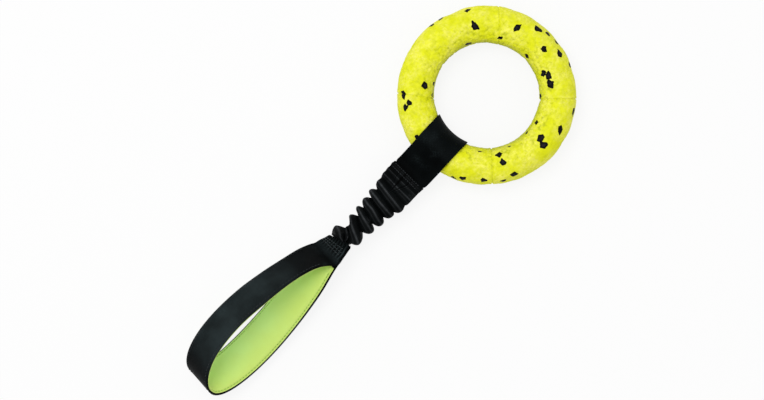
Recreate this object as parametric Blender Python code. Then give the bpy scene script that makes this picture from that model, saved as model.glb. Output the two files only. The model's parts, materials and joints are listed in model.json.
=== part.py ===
"""A dog tug toy: a foam-rubber ring, the webbing loop round it, a gathered bungee sleeve and a hand loop.

It lies on a surface at z = 0 with its long axis along X, the ring at +X and the hand loop at -X.
Metres, +Z up, with the origin at the middle of the toy's footprint.
"""

import math

import bmesh
import bpy
import numpy as np
from mathutils import Matrix, Vector

MM = 0.001
WELD_DISTANCE = 0.01 * MM
PIVOT_SIZE = 10.0 * MM
SHARP_ANGLE = math.radians(40.0)

# The ring
RING_TUBE_RADIUS = 17.8 * MM
RING_HOLE_RADIUS = 49.8 * MM
RING_SEGMENTS = 64
RING_SIDES = 20

# The webbing and the loop of it that holds the ring
WEBBING_WIDTH = 38.0 * MM
WEBBING_THICKNESS = 1.9 * MM
RING_CLEARANCE = 0.5 * MM
LOOP_REACH = 33.5 * MM
LOOP_ARC_STEPS = 10

# Clearances between pieces that touch, and at the folds
TOUCH_GAP = 0.3 * MM
FOLD_GAP = 0.15 * MM

# The two elastic cords inside the sleeve
CORD_RADIUS = 3.0 * MM
CORD_END_HALF_HEIGHT = 1.6 * MM
CORD_APART = 0.8 * MM
CORD_END_APART = 0.6 * MM
CORD_GRIP = 5.0 * MM
CORD_SPREAD_LENGTH = 14.0 * MM
CORD_STATIONS = 26
CORD_SIDES = 10

# The sewn ends on either side of the sleeve
NECK_LENGTH = 10.0 * MM
TAB_LENGTH = 17.0 * MM
TAB_NARROW_WIDTH = 34.0 * MM

# The gathered sleeve
SLEEVE_LENGTH = 86.0 * MM
SLEEVE_WALL = 1.2 * MM
SLEEVE_MOUTH_LIP = 0.2 * MM
SLEEVE_HALF_HEIGHT = 7.0 * MM
SLEEVE_WAIST_HALF_WIDTH = 10.6 * MM
SLEEVE_END_HALF_WIDTH = 14.5 * MM
SLEEVE_WAIST_FROM_END = 17.0 * MM
SLEEVE_SWELL_LENGTH = 20.0 * MM
SLEEVE_CLOSE_LENGTH = 12.0 * MM
GATHER_PITCH = 11.95 * MM
GATHER_FIRST_CREST = 7.0 * MM
GATHER_HEIGHT = 3.4 * MM
GATHER_LOW_HEIGHT = 0.9 * MM
GATHER_LOW_LENGTH = 12.0 * MM
GATHER_SLANT = 0.6
GATHER_SHARPNESS = 1.3
GATHER_STATIONS = 58
SLEEVE_BORE_STATIONS = 18
SLEEVE_SIDES = 20

# The hand loop: a band whose middle line is a rolled teardrop
HANDLE_LENGTH = 168.8 * MM
HANDLE_BOW = 23.6 * MM
HANDLE_SWAY = 5.6 * MM
HANDLE_RISE = 24.0 * MM
HANDLE_LIFT = 7.6 * MM
HANDLE_END_LIFT = 4.0 * MM
HANDLE_ROLL = math.radians(38.3)
HANDLE_END_ROLL = math.radians(34.9)
HANDLE_NEAR_ROLL = math.radians(10.4)
HANDLE_FULLNESS = 0.85
HANDLE_STEPS = 72
HANDLE_LEAD = 5.0 * MM
HANDLE_BEND = 1.2 * MM
HANDLE_SQUARE_LENGTH = 12.0 * MM
EDGE_EASE_SHARE = 0.25
LINING_WIDTH = 35.4 * MM
LINING_THICKNESS = 2.6 * MM
LINING_START = 9.0 * MM
LINING_GAP = 0.5 * MM

# Sewing
SEAM_INSET = 2.8 * MM
SEAM_RADIUS = 0.4 * MM
SEAM_START = 12.0 * MM
TACK_LENGTH = 30.0 * MM
TACK_WIDTH = 2.4 * MM
TACK_THICKNESS = 0.6 * MM
TACK_EASE = 0.2 * MM

# Heights and half sizes that follow
RING_RADIUS = RING_HOLE_RADIUS + RING_TUBE_RADIUS
RING_OUTER_RADIUS = RING_RADIUS + RING_TUBE_RADIUS
LOOP_INNER_RADIUS = RING_TUBE_RADIUS + RING_CLEARANCE
LOOP_OUTER_RADIUS = LOOP_INNER_RADIUS + WEBBING_THICKNESS
AXIS_Z = LOOP_OUTER_RADIUS
POCKET_HALF_HEIGHT = CORD_END_HALF_HEIGHT + TOUCH_GAP
PLY_HALF_STACK = POCKET_HALF_HEIGHT + WEBBING_THICKNESS
POCKET_DEPTH = CORD_GRIP + TOUCH_GAP

# Places along X, from the ring to the hand loop, set so that the footprint's middle is at x = 0
LENGTH_PAST_RING = (
    RING_RADIUS + LOOP_REACH + NECK_LENGTH + SLEEVE_LENGTH + TAB_LENGTH
    + 4 * FOLD_GAP + 3 * TOUCH_GAP + HANDLE_LENGTH + WEBBING_THICKNESS / 2 + 2 * SEAM_RADIUS
)
RING_X = (LENGTH_PAST_RING - RING_OUTER_RADIUS) / 2
TUBE_X = RING_X - RING_RADIUS
FOLD_X = TUBE_X - LOOP_REACH - FOLD_GAP
NECK_X = FOLD_X - FOLD_GAP
SLEEVE_X = NECK_X - NECK_LENGTH - TOUCH_GAP
TAB_X = SLEEVE_X - SLEEVE_LENGTH - TOUCH_GAP
THROAT_X = TAB_X - TAB_LENGTH - FOLD_GAP

BLACK = (0.012, 0.012, 0.014)
YELLOW = (0.82, 0.90, 0.02)
LIME = (0.48, 0.70, 0.15)
THREAD = (0.03, 0.03, 0.035)
LATEX = (0.70, 0.64, 0.50)


def clear_scene():
    """Removes whatever the scene holds."""
    for obj in list(bpy.data.objects):
        bpy.data.objects.remove(obj, do_unlink=True)


def collection(name):
    """A new collection in the scene."""
    made = bpy.data.collections.new(name)
    bpy.context.scene.collection.children.link(made)
    return made


def material(name, colour, roughness):
    """A Principled material of one colour."""
    made = bpy.data.materials.new(name)
    made.use_nodes = True
    shader = made.node_tree.nodes["Principled BSDF"]
    shader.inputs["Base Color"].default_value = (*colour, 1.0)
    shader.inputs["Roughness"].default_value = roughness
    shader.inputs["Metallic"].default_value = 0.0
    return made


def hang(obj, parent):
    """Parents an object to an unturned one, with its location kept in world places."""
    obj.parent = parent
    obj.matrix_parent_inverse = Matrix.Translation(-parent.location)


def pivot(name, place, group, parent=None):
    """An empty on a joint's axis."""
    empty = bpy.data.objects.new(name, None)
    empty.location = place
    empty.empty_display_size = PIVOT_SIZE
    group.objects.link(empty)
    if parent:
        hang(empty, parent)
    return empty


def add_piece(name, mesh, finish, group, parent):
    """Makes an object of a mesh that is in world places, with its origin on its parent's."""
    obj = bpy.data.objects.new(name, mesh)
    group.objects.link(obj)
    mesh.transform(Matrix.Translation(-parent.location))
    obj.location = parent.location
    hang(obj, parent)
    mesh.materials.append(finish)
    mesh.shade_smooth()
    mesh.set_sharp_from_angle(angle=SHARP_ANGLE)
    return obj


def face_out(mesh):
    """Turns all faces of a closed mesh outwards."""
    work = bmesh.new()
    work.from_mesh(mesh)
    bmesh.ops.recalc_face_normals(work, faces=work.faces[:])
    work.to_mesh(mesh)
    work.free()
    return mesh


def smooth(x):
    """0 below 0, 1 above 1, and an even S between them."""
    x = np.clip(x, 0.0, 1.0)
    return x * x * (3.0 - 2.0 * x)


def across(roll):
    """The direction along a band's width, for a band rolled by that angle about X."""
    roll = np.asarray(roll, float)
    return np.stack([np.zeros_like(roll), -np.cos(roll), np.sin(roll)], axis=-1)


def through(roll):
    """The direction through a band's thickness, for the same roll."""
    roll = np.asarray(roll, float)
    return np.stack([np.zeros_like(roll), np.sin(roll), np.cos(roll)], axis=-1)


def placed(x, w, n, roll):
    """World places of points given along X, across the band and through it."""
    line = np.stack([np.asarray(x, float), np.zeros_like(x), np.full_like(x, AXIS_Z)], axis=-1)
    return line + np.asarray(w)[..., None] * across(roll) + np.asarray(n)[..., None] * through(roll)


def loft(name, rings, closed=False):
    """Joins rings of equally many points, capped at both ends or closed on itself."""
    total, count = rings.shape[:2]
    faces = []
    for i in range(total if closed else total - 1):
        here = i * count
        there = (i + 1) % total * count
        for j in range(count):
            k = (j + 1) % count
            faces.append((here + j, here + k, there + k, there + j))
    if not closed:
        faces.append(tuple(range(count)))
        faces.append(tuple(range((total - 1) * count, total * count)))
    mesh = bpy.data.meshes.new(name)
    mesh.from_pydata(rings.reshape(-1, 3).tolist(), [], faces)
    return face_out(mesh)


def extruded(name, outlines, width):
    """A solid of an XZ outline, and of any holes in it, that runs from -width/2 to width/2 along Y."""
    curve = bpy.data.curves.new(name, "CURVE")
    curve.dimensions = "2D"
    curve.fill_mode = "BOTH"
    curve.extrude = width / 2
    for outline in outlines:
        spline = curve.splines.new("POLY")
        spline.points.add(len(outline) - 1)
        for point, (x, z) in zip(spline.points, outline):
            point.co = (x, z, 0.0, 1.0)
        spline.use_cyclic_u = True
    flat = bpy.data.objects.new(name, curve)
    bpy.context.scene.collection.objects.link(flat)
    graph = bpy.context.evaluated_depsgraph_get()
    mesh = bpy.data.meshes.new_from_object(flat.evaluated_get(graph))
    bpy.data.objects.remove(flat, do_unlink=True)
    mesh.transform(Matrix.Rotation(math.radians(90), 4, "X"))
    work = bmesh.new()
    work.from_mesh(mesh)
    bmesh.ops.remove_doubles(work, verts=work.verts[:], dist=WELD_DISTANCE)
    work.to_mesh(mesh)
    work.free()
    return face_out(mesh)


def rolled(mesh, roll):
    """Turns a mesh, made flat about the plane z = 0, by a band's roll and lifts it to the long axis."""
    mesh.transform(Matrix.Translation((0.0, 0.0, AXIS_Z)) @ Matrix.Rotation(-roll, 4, "X"))
    return mesh


def ring_mesh():
    """The moulded ring, a torus that lies flat."""
    bpy.ops.mesh.primitive_torus_add(
        major_segments=RING_SEGMENTS, minor_segments=RING_SIDES,
        major_radius=RING_RADIUS, minor_radius=RING_TUBE_RADIUS,
    )
    made = bpy.context.active_object
    mesh = made.data
    bpy.data.objects.remove(made, do_unlink=True)
    mesh.transform(Matrix.Translation((RING_X, 0.0, AXIS_Z)))
    return mesh


def loop_outline(radius):
    """Half a stadium round the ring's tube, whose sides run on from the tube and meet in a point at the fold.

    The side towards the ring's hole stands off the tube, because the tube curves away across the webbing.
    """
    inner = RING_HOLE_RADIUS
    stand_off = inner - math.sqrt(inner ** 2 - (WEBBING_WIDTH / 2) ** 2)
    apex = LOOP_REACH * radius / LOOP_OUTER_RADIUS
    lean = math.asin(radius / apex)
    points = []
    for i in range(LOOP_ARC_STEPS + 1):
        angle = math.pi / 2 - math.pi * i / LOOP_ARC_STEPS
        points.append((TUBE_X + stand_off + radius * math.cos(angle), radius * math.sin(angle)))
    lower = []
    for i in range(LOOP_ARC_STEPS // 2 + 1):
        angle = -math.pi / 2 - (math.pi / 2 - lean) * i / (LOOP_ARC_STEPS // 2)
        lower.append((TUBE_X + radius * math.cos(angle), radius * math.sin(angle)))
    points += lower
    points.append((TUBE_X - apex, 0.0))
    points += [(x, -z) for x, z in reversed(lower)]
    return points


def ring_loop_mesh():
    """The webbing loop round the ring."""
    outlines = [loop_outline(LOOP_OUTER_RADIUS), loop_outline(LOOP_INNER_RADIUS)]
    return rolled(extruded("ring_loop", outlines, WEBBING_WIDTH), 0.0)


def sewn_end_outline(fold_x, length, toward):
    """Two plies sewn to a wedge at the fold, open at the other end as a pocket for the cords.

    toward is -1 where the pocket opens towards -X and 1 where it opens towards +X.
    """
    h = PLY_HALF_STACK
    p = POCKET_HALF_HEIGHT
    upper = [(h, h), (length, h), (length, p), (length - POCKET_DEPTH, p)]
    lower = [(along, -height) for along, height in reversed(upper)]
    return [(fold_x + toward * along, height) for along, height in [(0.0, 0.0)] + upper + lower]


def neck_mesh():
    """The sewn end of the ring's webbing, where the cords and the sleeve begin."""
    outline = sewn_end_outline(NECK_X, NECK_LENGTH, -1)
    return rolled(extruded("neck_webbing", [outline], WEBBING_WIDTH), 0.0)


def tab_mesh():
    """The sewn end of the hand loop's webbing, drawn in towards the sleeve."""
    outline = sewn_end_outline(THROAT_X + FOLD_GAP, TAB_LENGTH, 1)
    mesh = extruded("tab_webbing", [outline], WEBBING_WIDTH)
    for vertex in mesh.vertices:
        share = (vertex.co.x - THROAT_X) / TAB_LENGTH
        vertex.co.y *= 1.0 + (TAB_NARROW_WIDTH / WEBBING_WIDTH - 1.0) * share
    return rolled(mesh, HANDLE_ROLL)


def sleeve_roll(along):
    """How far the sleeve and its cords are twisted, that far from the neck."""
    return HANDLE_ROLL * smooth(along / SLEEVE_LENGTH)


def sleeve_sizes(along):
    """Half width and half height of the sleeve between its gathers."""
    mouth = PLY_HALF_STACK + SLEEVE_MOUTH_LIP
    waist_at = SLEEVE_LENGTH - SLEEVE_WAIST_FROM_END
    start = WEBBING_WIDTH / 2
    narrow = smooth(along / waist_at)
    widen = smooth((along - waist_at) / SLEEVE_WAIST_FROM_END)
    width = start + (SLEEVE_WAIST_HALF_WIDTH - start) * narrow
    width = width + (SLEEVE_END_HALF_WIDTH - SLEEVE_WAIST_HALF_WIDTH) * widen
    swell = smooth(along / SLEEVE_SWELL_LENGTH) * smooth((SLEEVE_LENGTH - along) / SLEEVE_CLOSE_LENGTH)
    return width, mouth + (SLEEVE_HALF_HEIGHT - mouth) * swell


def gather(along, w):
    """How far the cloth stands out of its plain surface: rounded crests, slanted more towards the handle."""
    slant = GATHER_SLANT * smooth((along - GATHER_LOW_LENGTH) / (SLEEVE_LENGTH - GATHER_LOW_LENGTH))
    phase = 2 * np.pi * (along - slant * w - GATHER_FIRST_CREST) / GATHER_PITCH
    crest = (0.5 + 0.5 * np.cos(phase)) ** GATHER_SHARPNESS
    grow = smooth((along - GATHER_LOW_LENGTH) / GATHER_PITCH)
    height = GATHER_LOW_HEIGHT + (GATHER_HEIGHT - GATHER_LOW_HEIGHT) * grow
    ends = smooth(along / GATHER_FIRST_CREST) * smooth((SLEEVE_LENGTH - along) / GATHER_FIRST_CREST)
    return height * crest * ends


def sleeve_rings(stations, inset):
    """Rings of the sleeve's surface, or of its bore where inset is the wall."""
    along = np.linspace(0.0, SLEEVE_LENGTH, stations)[:, None]
    angle = np.linspace(0.0, 2 * np.pi, SLEEVE_SIDES, endpoint=False)[None, :]
    width, height = sleeve_sizes(along)
    w = (width - inset) * np.cos(angle)
    n = (height - inset) * np.sin(angle)
    if inset == 0.0:
        out = gather(along, w)
        w = w + out * np.cos(angle)
        n = n + out * np.sin(angle)
    x = SLEEVE_X - along + 0.0 * angle
    return placed(x, w, n, sleeve_roll(along) + 0.0 * angle)


def sleeve_mesh():
    """The gathered cloth sleeve, open at both ends."""
    outside = sleeve_rings(GATHER_STATIONS, 0.0)
    bore = sleeve_rings(SLEEVE_BORE_STATIONS, SLEEVE_WALL)
    return loft("gathered_sleeve", np.concatenate([outside, bore[::-1]]), closed=True)


def cord_mesh(name, side):
    """An elastic cord, round in the sleeve and pressed flat in its two pockets."""
    along = np.linspace(-TOUCH_GAP - CORD_GRIP, SLEEVE_LENGTH + TOUCH_GAP + CORD_GRIP, CORD_STATIONS)[:, None]
    angle = np.linspace(0.0, 2 * np.pi, CORD_SIDES, endpoint=False)[None, :]
    round_share = smooth(along / CORD_SPREAD_LENGTH) * smooth((SLEEVE_LENGTH - along) / CORD_SPREAD_LENGTH)
    half_height = CORD_END_HALF_HEIGHT + (CORD_RADIUS - CORD_END_HALF_HEIGHT) * round_share
    half_width = CORD_RADIUS ** 2 / half_height
    apart = CORD_END_APART + (CORD_APART - CORD_END_APART) * round_share
    w = side * (half_width + apart / 2) + half_width * np.cos(angle)
    n = half_height * np.sin(angle)
    return loft(name, placed(SLEEVE_X - along + 0.0 * angle, w, n, sleeve_roll(along) + 0.0 * angle))


def tack_mesh(name, x, roll, face):
    """A bar of close stitches across the webbing, on its upper face (1) or its lower one (-1)."""
    work = bmesh.new()
    bmesh.ops.create_cube(work, size=1.0)
    bmesh.ops.scale(work, vec=(TACK_WIDTH, TACK_LENGTH, TACK_THICKNESS), verts=work.verts[:])
    bmesh.ops.bevel(
        work, geom=work.edges[:], offset=TACK_EASE, segments=1, affect="EDGES",
    )
    height = PLY_HALF_STACK + TOUCH_GAP + TACK_THICKNESS / 2
    bmesh.ops.translate(work, vec=(x, 0.0, face * height), verts=work.verts[:])
    mesh = bpy.data.meshes.new(name)
    work.to_mesh(mesh)
    work.free()
    return rolled(mesh, roll)


def handle_frame(start):
    """Stations of the hand loop's band, from one end at the throat to the other.

    The band's middle line is a rolled teardrop. Its turn runs from 0 at the throat, out along the upper
    strap, to pi at the far end and back to 2 pi along the lower one. Every layer shares the same stations
    and begins at the first one past the start, a distance from the throat, which a short straight lead
    runs past the other way. The width turns square to the line over the first stretch past the throat.
    Returns the line, its width direction and its outward direction.
    """
    turn = np.linspace(0.0, 2 * np.pi, HANDLE_STEPS + 1)
    reach = (1.0 - np.cos(turn)) / 2
    kept = HANDLE_LENGTH * reach > HANDLE_BEND
    turn, reach = turn[kept], reach[kept]
    bow = np.sin(turn) * np.abs(np.sin(turn / 2)) ** HANDLE_FULLNESS
    belly = np.sin(turn) ** 2
    line = np.stack([
        THROAT_X - HANDLE_LENGTH * reach,
        HANDLE_BOW * bow + HANDLE_SWAY * belly,
        AXIS_Z + HANDLE_RISE * bow + HANDLE_LIFT * belly + HANDLE_END_LIFT * reach,
    ], axis=-1)
    ply = (WEBBING_THICKNESS / 2 + FOLD_GAP) * through(HANDLE_ROLL)
    line = line + np.cos(turn / 2)[:, None] * ply
    roll = HANDLE_ROLL + (HANDLE_END_ROLL - HANDLE_ROLL) * reach + HANDLE_NEAR_ROLL * np.sin(turn)

    past = np.array([THROAT_X + HANDLE_LEAD, 0.0, AXIS_Z])
    bend = np.array([THROAT_X, 0.0, AXIS_Z])
    line = np.concatenate([[past + ply, bend + ply], line, [bend - ply, past - ply]])
    roll = np.concatenate([[HANDLE_ROLL] * 2, roll, [HANDLE_ROLL] * 2])
    tangent = np.gradient(line, axis=0)
    tangent /= np.linalg.norm(tangent, axis=1)[:, None]
    width = across(roll)
    square = smooth((THROAT_X - line[:, 0]) / HANDLE_SQUARE_LENGTH)
    width -= (square * (width * tangent).sum(axis=1))[:, None] * tangent
    width /= np.linalg.norm(width, axis=1)[:, None]
    shown = line[:, 0] < THROAT_X - start
    return line[shown], width[shown], np.cross(tangent, width)[shown]


def band_mesh(name, frame, width, thickness, offset):
    """A band with eased edges along the frame, its middle that far out of the frame's line."""
    line, across_band, outward = frame
    half = width / 2
    rise = thickness / 2
    ease = thickness * EDGE_EASE_SHARE
    section = [
        (half - ease, -rise), (half, -rise + ease), (half, rise - ease), (half - ease, rise),
        (-half + ease, rise), (-half, rise - ease), (-half, -rise + ease), (-half + ease, -rise),
    ]
    w = np.array([point[0] for point in section])[None, :, None]
    n = np.array([point[1] for point in section])[None, :, None] + offset
    return loft(name, line[:, None, :] + w * across_band[:, None, :] + n * outward[:, None, :])


def fold_cutter(group):
    """A block with a square notch, which points the hand loop's two ends at their fold."""
    reach = PLY_HALF_STACK + WEBBING_THICKNESS + HANDLE_LEAD
    tip = THROAT_X - FOLD_GAP
    back = THROAT_X + 2 * HANDLE_LEAD
    outline = [(tip, 0.0), (tip - reach, reach), (back, reach), (back, -reach), (tip - reach, -reach)]
    mesh = rolled(extruded("throat_cutter", [outline], 2 * WEBBING_WIDTH), HANDLE_ROLL)
    obj = bpy.data.objects.new("throat_cutter", mesh)
    obj.hide_render = True
    obj.display_type = "WIRE"
    group.objects.link(obj)
    return obj


def seam_curve(name, side, finish, group, parent):
    """A row of stitching as one thread along the outside of the hand loop, near one edge."""
    line, across_band, outward = handle_frame(SEAM_START)
    out = WEBBING_THICKNESS / 2 + TOUCH_GAP + SEAM_RADIUS
    inset = side * (WEBBING_WIDTH / 2 - SEAM_INSET)
    curve = bpy.data.curves.new(name, "CURVE")
    curve.dimensions = "3D"
    curve.bevel_depth = SEAM_RADIUS
    curve.bevel_resolution = 1
    curve.use_fill_caps = True
    spline = curve.splines.new("POLY")
    points = line + inset * across_band + out * outward - np.array(parent.location)
    spline.points.add(len(points) - 1)
    for point, place in zip(spline.points, points):
        point.co = (*place, 1.0)
    curve.materials.append(finish)
    obj = bpy.data.objects.new(name, curve)
    obj.location = parent.location
    group.objects.link(obj)
    hang(obj, parent)
    return obj


def main():
    """Builds the toy's pieces and hangs each on the pivot that it moves with."""
    clear_scene()
    parts = collection("dog_tug_toy")
    cutters = collection("cutters")
    webbing = material("black_webbing", BLACK, 0.62)
    foam = material("yellow_foam_rubber", YELLOW, 0.55)
    lining = material("lime_lining", LIME, 0.85)
    thread = material("dark_thread", THREAD, 0.6)
    latex = material("elastic_latex", LATEX, 0.5)

    bungee = pivot("bungee_frame", (NECK_X, 0.0, AXIS_Z), parts)
    loop_fold = pivot("loop_fold_pivot", (FOLD_X, 0.0, AXIS_Z), parts, bungee)
    ring_turn = pivot("ring_turn_pivot", (RING_X, 0.0, AXIS_Z), parts, loop_fold)
    stretch = pivot("bungee_stretch_slide", (TAB_X, 0.0, AXIS_Z), parts, bungee)
    swing = pivot("handle_swing_pivot", (THROAT_X, 0.0, AXIS_Z), parts, stretch)

    add_piece("ring", ring_mesh(), foam, parts, ring_turn)
    add_piece("ring_loop", ring_loop_mesh(), webbing, parts, loop_fold)
    add_piece("neck_webbing", neck_mesh(), webbing, parts, bungee)
    add_piece("gathered_sleeve", sleeve_mesh(), webbing, parts, bungee)
    add_piece("bungee_cord_left", cord_mesh("bungee_cord_left", -1), latex, parts, bungee)
    add_piece("bungee_cord_right", cord_mesh("bungee_cord_right", 1), latex, parts, bungee)
    add_piece("tab_webbing", tab_mesh(), webbing, parts, stretch)

    neck_tack_x = NECK_X - (PLY_HALF_STACK + NECK_LENGTH) / 2
    tab_tack_x = THROAT_X + (PLY_HALF_STACK + TAB_LENGTH) / 2
    for face, word in ((1, "upper"), (-1, "lower")):
        tack = tack_mesh(f"neck_tack_{word}", neck_tack_x, 0.0, face)
        add_piece(f"neck_tack_{word}", tack, thread, parts, bungee)
        tack = tack_mesh(f"tab_tack_{word}", tab_tack_x, HANDLE_ROLL, face)
        add_piece(f"tab_tack_{word}", tack, thread, parts, stretch)

    outer = handle_frame(-2 * HANDLE_LEAD)
    handle = add_piece(
        "handle_webbing", band_mesh("handle_webbing", outer, WEBBING_WIDTH, WEBBING_THICKNESS, 0.0),
        webbing, parts, swing,
    )
    fold = handle.modifiers.new("throat_fold", "BOOLEAN")
    fold.operation = "DIFFERENCE"
    fold.object = fold_cutter(cutters)

    inside = -(WEBBING_THICKNESS + LINING_THICKNESS) / 2 - LINING_GAP
    pad = band_mesh("handle_lining", handle_frame(LINING_START), LINING_WIDTH, LINING_THICKNESS, inside)
    add_piece("handle_lining", pad, lining, parts, swing)
    seam_curve("handle_seam_left", -1, thread, parts, swing)
    seam_curve("handle_seam_right", 1, thread, parts, swing)


main()
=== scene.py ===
"""The looks of a dog tug toy: a foam ring with rubber chips, its strap, a gathered sleeve and a hand loop.

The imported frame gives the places. Everything is in metres, +Z up, with the toy's long axis along X.
"""

import itertools
import json
import logging
import math
from dataclasses import dataclass
from enum import Enum

import bpy
import numpy as np
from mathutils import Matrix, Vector


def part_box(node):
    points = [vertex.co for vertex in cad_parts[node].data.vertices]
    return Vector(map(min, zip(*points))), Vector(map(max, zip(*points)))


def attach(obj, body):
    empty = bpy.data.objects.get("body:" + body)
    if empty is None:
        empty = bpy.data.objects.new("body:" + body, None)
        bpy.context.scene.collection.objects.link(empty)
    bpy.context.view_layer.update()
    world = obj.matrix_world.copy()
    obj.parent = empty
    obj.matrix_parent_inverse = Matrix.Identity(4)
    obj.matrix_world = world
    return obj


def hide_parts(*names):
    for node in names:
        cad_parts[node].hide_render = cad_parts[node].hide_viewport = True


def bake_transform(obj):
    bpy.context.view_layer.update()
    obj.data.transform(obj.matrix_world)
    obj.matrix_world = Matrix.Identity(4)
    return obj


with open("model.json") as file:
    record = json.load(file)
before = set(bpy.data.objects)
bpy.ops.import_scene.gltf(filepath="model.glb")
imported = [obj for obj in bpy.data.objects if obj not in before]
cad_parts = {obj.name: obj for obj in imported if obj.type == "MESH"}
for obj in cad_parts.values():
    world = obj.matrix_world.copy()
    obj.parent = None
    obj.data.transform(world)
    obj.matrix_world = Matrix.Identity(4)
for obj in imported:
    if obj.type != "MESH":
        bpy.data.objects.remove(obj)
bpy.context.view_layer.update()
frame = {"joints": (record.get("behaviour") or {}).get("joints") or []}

Array = np.ndarray
Place = tuple[float, float, float]
# A straight line's height at 0 and its slope
Line = tuple[float, float]
Knots = tuple[tuple[float, float], ...]
Socket = bpy.types.NodeSocket
report = logging.getLogger("tug_toy")

MM = 0.001
SHARP_ANGLE = math.radians(50.0)
SLEEVE_ROLL = math.radians(38.3)

# How lattice_value mixes a cell's indices into one random number
LATTICE_PRIMES = np.array([73856093, 19349663, 83492791])
SEED_PRIME = 26544357
FIRST_MIX = 2246822519
SECOND_MIX = 3266489917
MIX_MASK = 0xFFFFFFFF

# The square of the distance, in cubes, at which a pebble's dome has sunk to nothing
PEBBLE_REACH = 0.8

# The display's own curve: straight below a knee, and a power above it
DISPLAY_WHITE = 255.0
CURVE_KNEE = 0.04045
CURVE_SLOPE = 12.92
CURVE_OFFSET = 0.055
CURVE_POWER = 2.4

# The corners of a grid's face, as steps down the rows and over the columns
FACE_DOWN = np.array([0, 1, 1, 0])
FACE_OVER = np.array([0, 0, 1, 1])


class Side(Enum):
    """The two edges of a band, by the sign of their place along its width."""

    LEFT = -1
    RIGHT = 1


class Face(Enum):
    """The two faces of a sewn end, by the sign of their place through its thickness."""

    UPPER = 1
    LOWER = -1


def smooth(x: Array | float) -> Array:
    """0 below 0, 1 above 1, and an even S between them: three times the square less twice the cube."""
    x = np.clip(x, 0.0, 1.0)
    return x * x * (3.0 - 2.0 * x)


def on_line(line: Line, x: Array | float) -> Array | float:
    """A straight line's height at x: its height at 0 plus its slope times x."""
    return line[0] + line[1] * x


def bell(x: Array) -> Array:
    """A bell curve of height 1: e to the power of minus the square."""
    return np.exp(-x * x)


def unit(vectors: Array) -> Array:
    """The same directions with a length of 1."""
    return vectors / np.linalg.norm(vectors, axis=-1, keepdims=True)


def across(roll: Array | float) -> Array:
    """The direction along a band's width, for a band rolled by that angle about X: minus cosine, sine."""
    roll = np.asarray(roll, float)
    return np.stack([np.zeros_like(roll), -np.cos(roll), np.sin(roll)], axis=-1)


def through(roll: Array | float) -> Array:
    """The direction through a band's thickness, for the same roll: sine, cosine."""
    roll = np.asarray(roll, float)
    return np.stack([np.zeros_like(roll), np.sin(roll), np.cos(roll)], axis=-1)


def circle(steps: int) -> Array:
    """Even angles once round, as a row."""
    return np.linspace(0.0, 2 * np.pi, steps, endpoint=False)[None, :]


def together(*parts: Array | float) -> Array:
    """Numbers broadcast against each other and stacked as the places of a point, along a new last axis."""
    return np.stack(np.broadcast_arrays(*parts), axis=-1)


def lattice_value(cell: Array, seed: int) -> Array:
    """A fixed random value from 0 to 1 for each cell: the products of its indices, their bits mixed twice.

    Args:
        cell: whole-number indices, along the last axis.
        seed: picks the random values.

    Returns:
        One value for each cell.
    """
    mixed = ((cell * LATTICE_PRIMES).sum(axis=-1) + seed * SEED_PRIME) & MIX_MASK
    mixed = ((mixed ^ (mixed >> 15)) * FIRST_MIX) & MIX_MASK
    mixed = ((mixed ^ (mixed >> 13)) * SECOND_MIX) & MIX_MASK
    return (mixed ^ (mixed >> 16)) / MIX_MASK


def noise(points: Array, size: float, seed: int) -> Array:
    """Even noise from -1 to 1: random values at the corners of cubes, blended by an S along each side.

    Args:
        points: places along the last axis.
        size: the side of a cube, in the places' own unit.
        seed: picks the random values.

    Returns:
        One value for each place.
    """
    scaled = points / size
    cell = np.floor(scaled).astype(np.int64)
    part = smooth(scaled - cell)
    total = np.zeros(points.shape[:-1])
    for corner in itertools.product((0, 1), repeat=3):
        share = np.where(np.array(corner) == 1, part, 1.0 - part).prod(axis=-1)
        total += share * lattice_value(cell + np.array(corner), seed)
    return 2.0 * total - 1.0


def pebbles(points: Array, size: float, seed: int) -> Array:
    """Domes from 0 to 1: each cube has one point, and a dome falls with the square of the distance to it.

    Args:
        points: places, in metres, along the last axis.
        size: the side of a cube, in metres, which is about a pebble's width.
        seed: picks the points.

    Returns:
        One height for each place.
    """
    scaled = points / size
    cell = np.floor(scaled).astype(np.int64)
    nearest = np.full(points.shape[:-1], np.inf)
    for step in itertools.product((-1, 0, 1), repeat=3):
        other = cell + np.array(step)
        middle = other + np.stack([lattice_value(other, seed + k) for k in range(3)], axis=-1)
        nearest = np.minimum(nearest, ((scaled - middle) ** 2).sum(axis=-1))
    return np.clip(1.0 - nearest / PEBBLE_REACH, 0.0, 1.0)


def softened(values: Array, reach: float) -> Array:
    """Rows averaged with their neighbours by a bell curve, the rows running straight on past both ends.

    Args:
        values: one row for each station.
        reach: the bell's width, in rows.

    Returns:
        As many rows.
    """
    half = int(3 * reach) + 1
    weights = bell(np.arange(-half, half + 1) / (reach * math.sqrt(2.0)))
    weights /= weights.sum()
    before = 2 * values[:1] - values[half:0:-1]
    after = 2 * values[-1:] - values[-2:-half - 2:-1]
    longer = np.concatenate([before, values, after])
    columns = [np.convolve(longer[:, k], weights, mode="valid") for k in range(values.shape[1])]
    return np.stack(columns, axis=-1)


def spaced(line: Array, step: float) -> tuple[Array, Array]:
    """Stations an even step apart along a line of points.

    Args:
        line: rows whose first three numbers are a place; any more are carried along.
        step: about how far apart the stations lie, in metres.

    Returns:
        The rows at the stations, and how far along the line each lies.
    """
    runs = np.linalg.norm(np.diff(line[:, :3], axis=0), axis=1)
    length = np.concatenate([[0.0], np.cumsum(runs)])
    places = np.linspace(0.0, length[-1], int(round(length[-1] / step)) + 1)
    rows = [np.interp(places, length, line[:, k]) for k in range(line.shape[1])]
    return np.stack(rows, axis=-1), places


def straight_through(knots: Knots, at: Array) -> Array:
    """Values at places, read from straight runs between pairs of a place and a value."""
    places, values = np.array(knots).T
    return np.interp(at, places, values)


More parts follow.
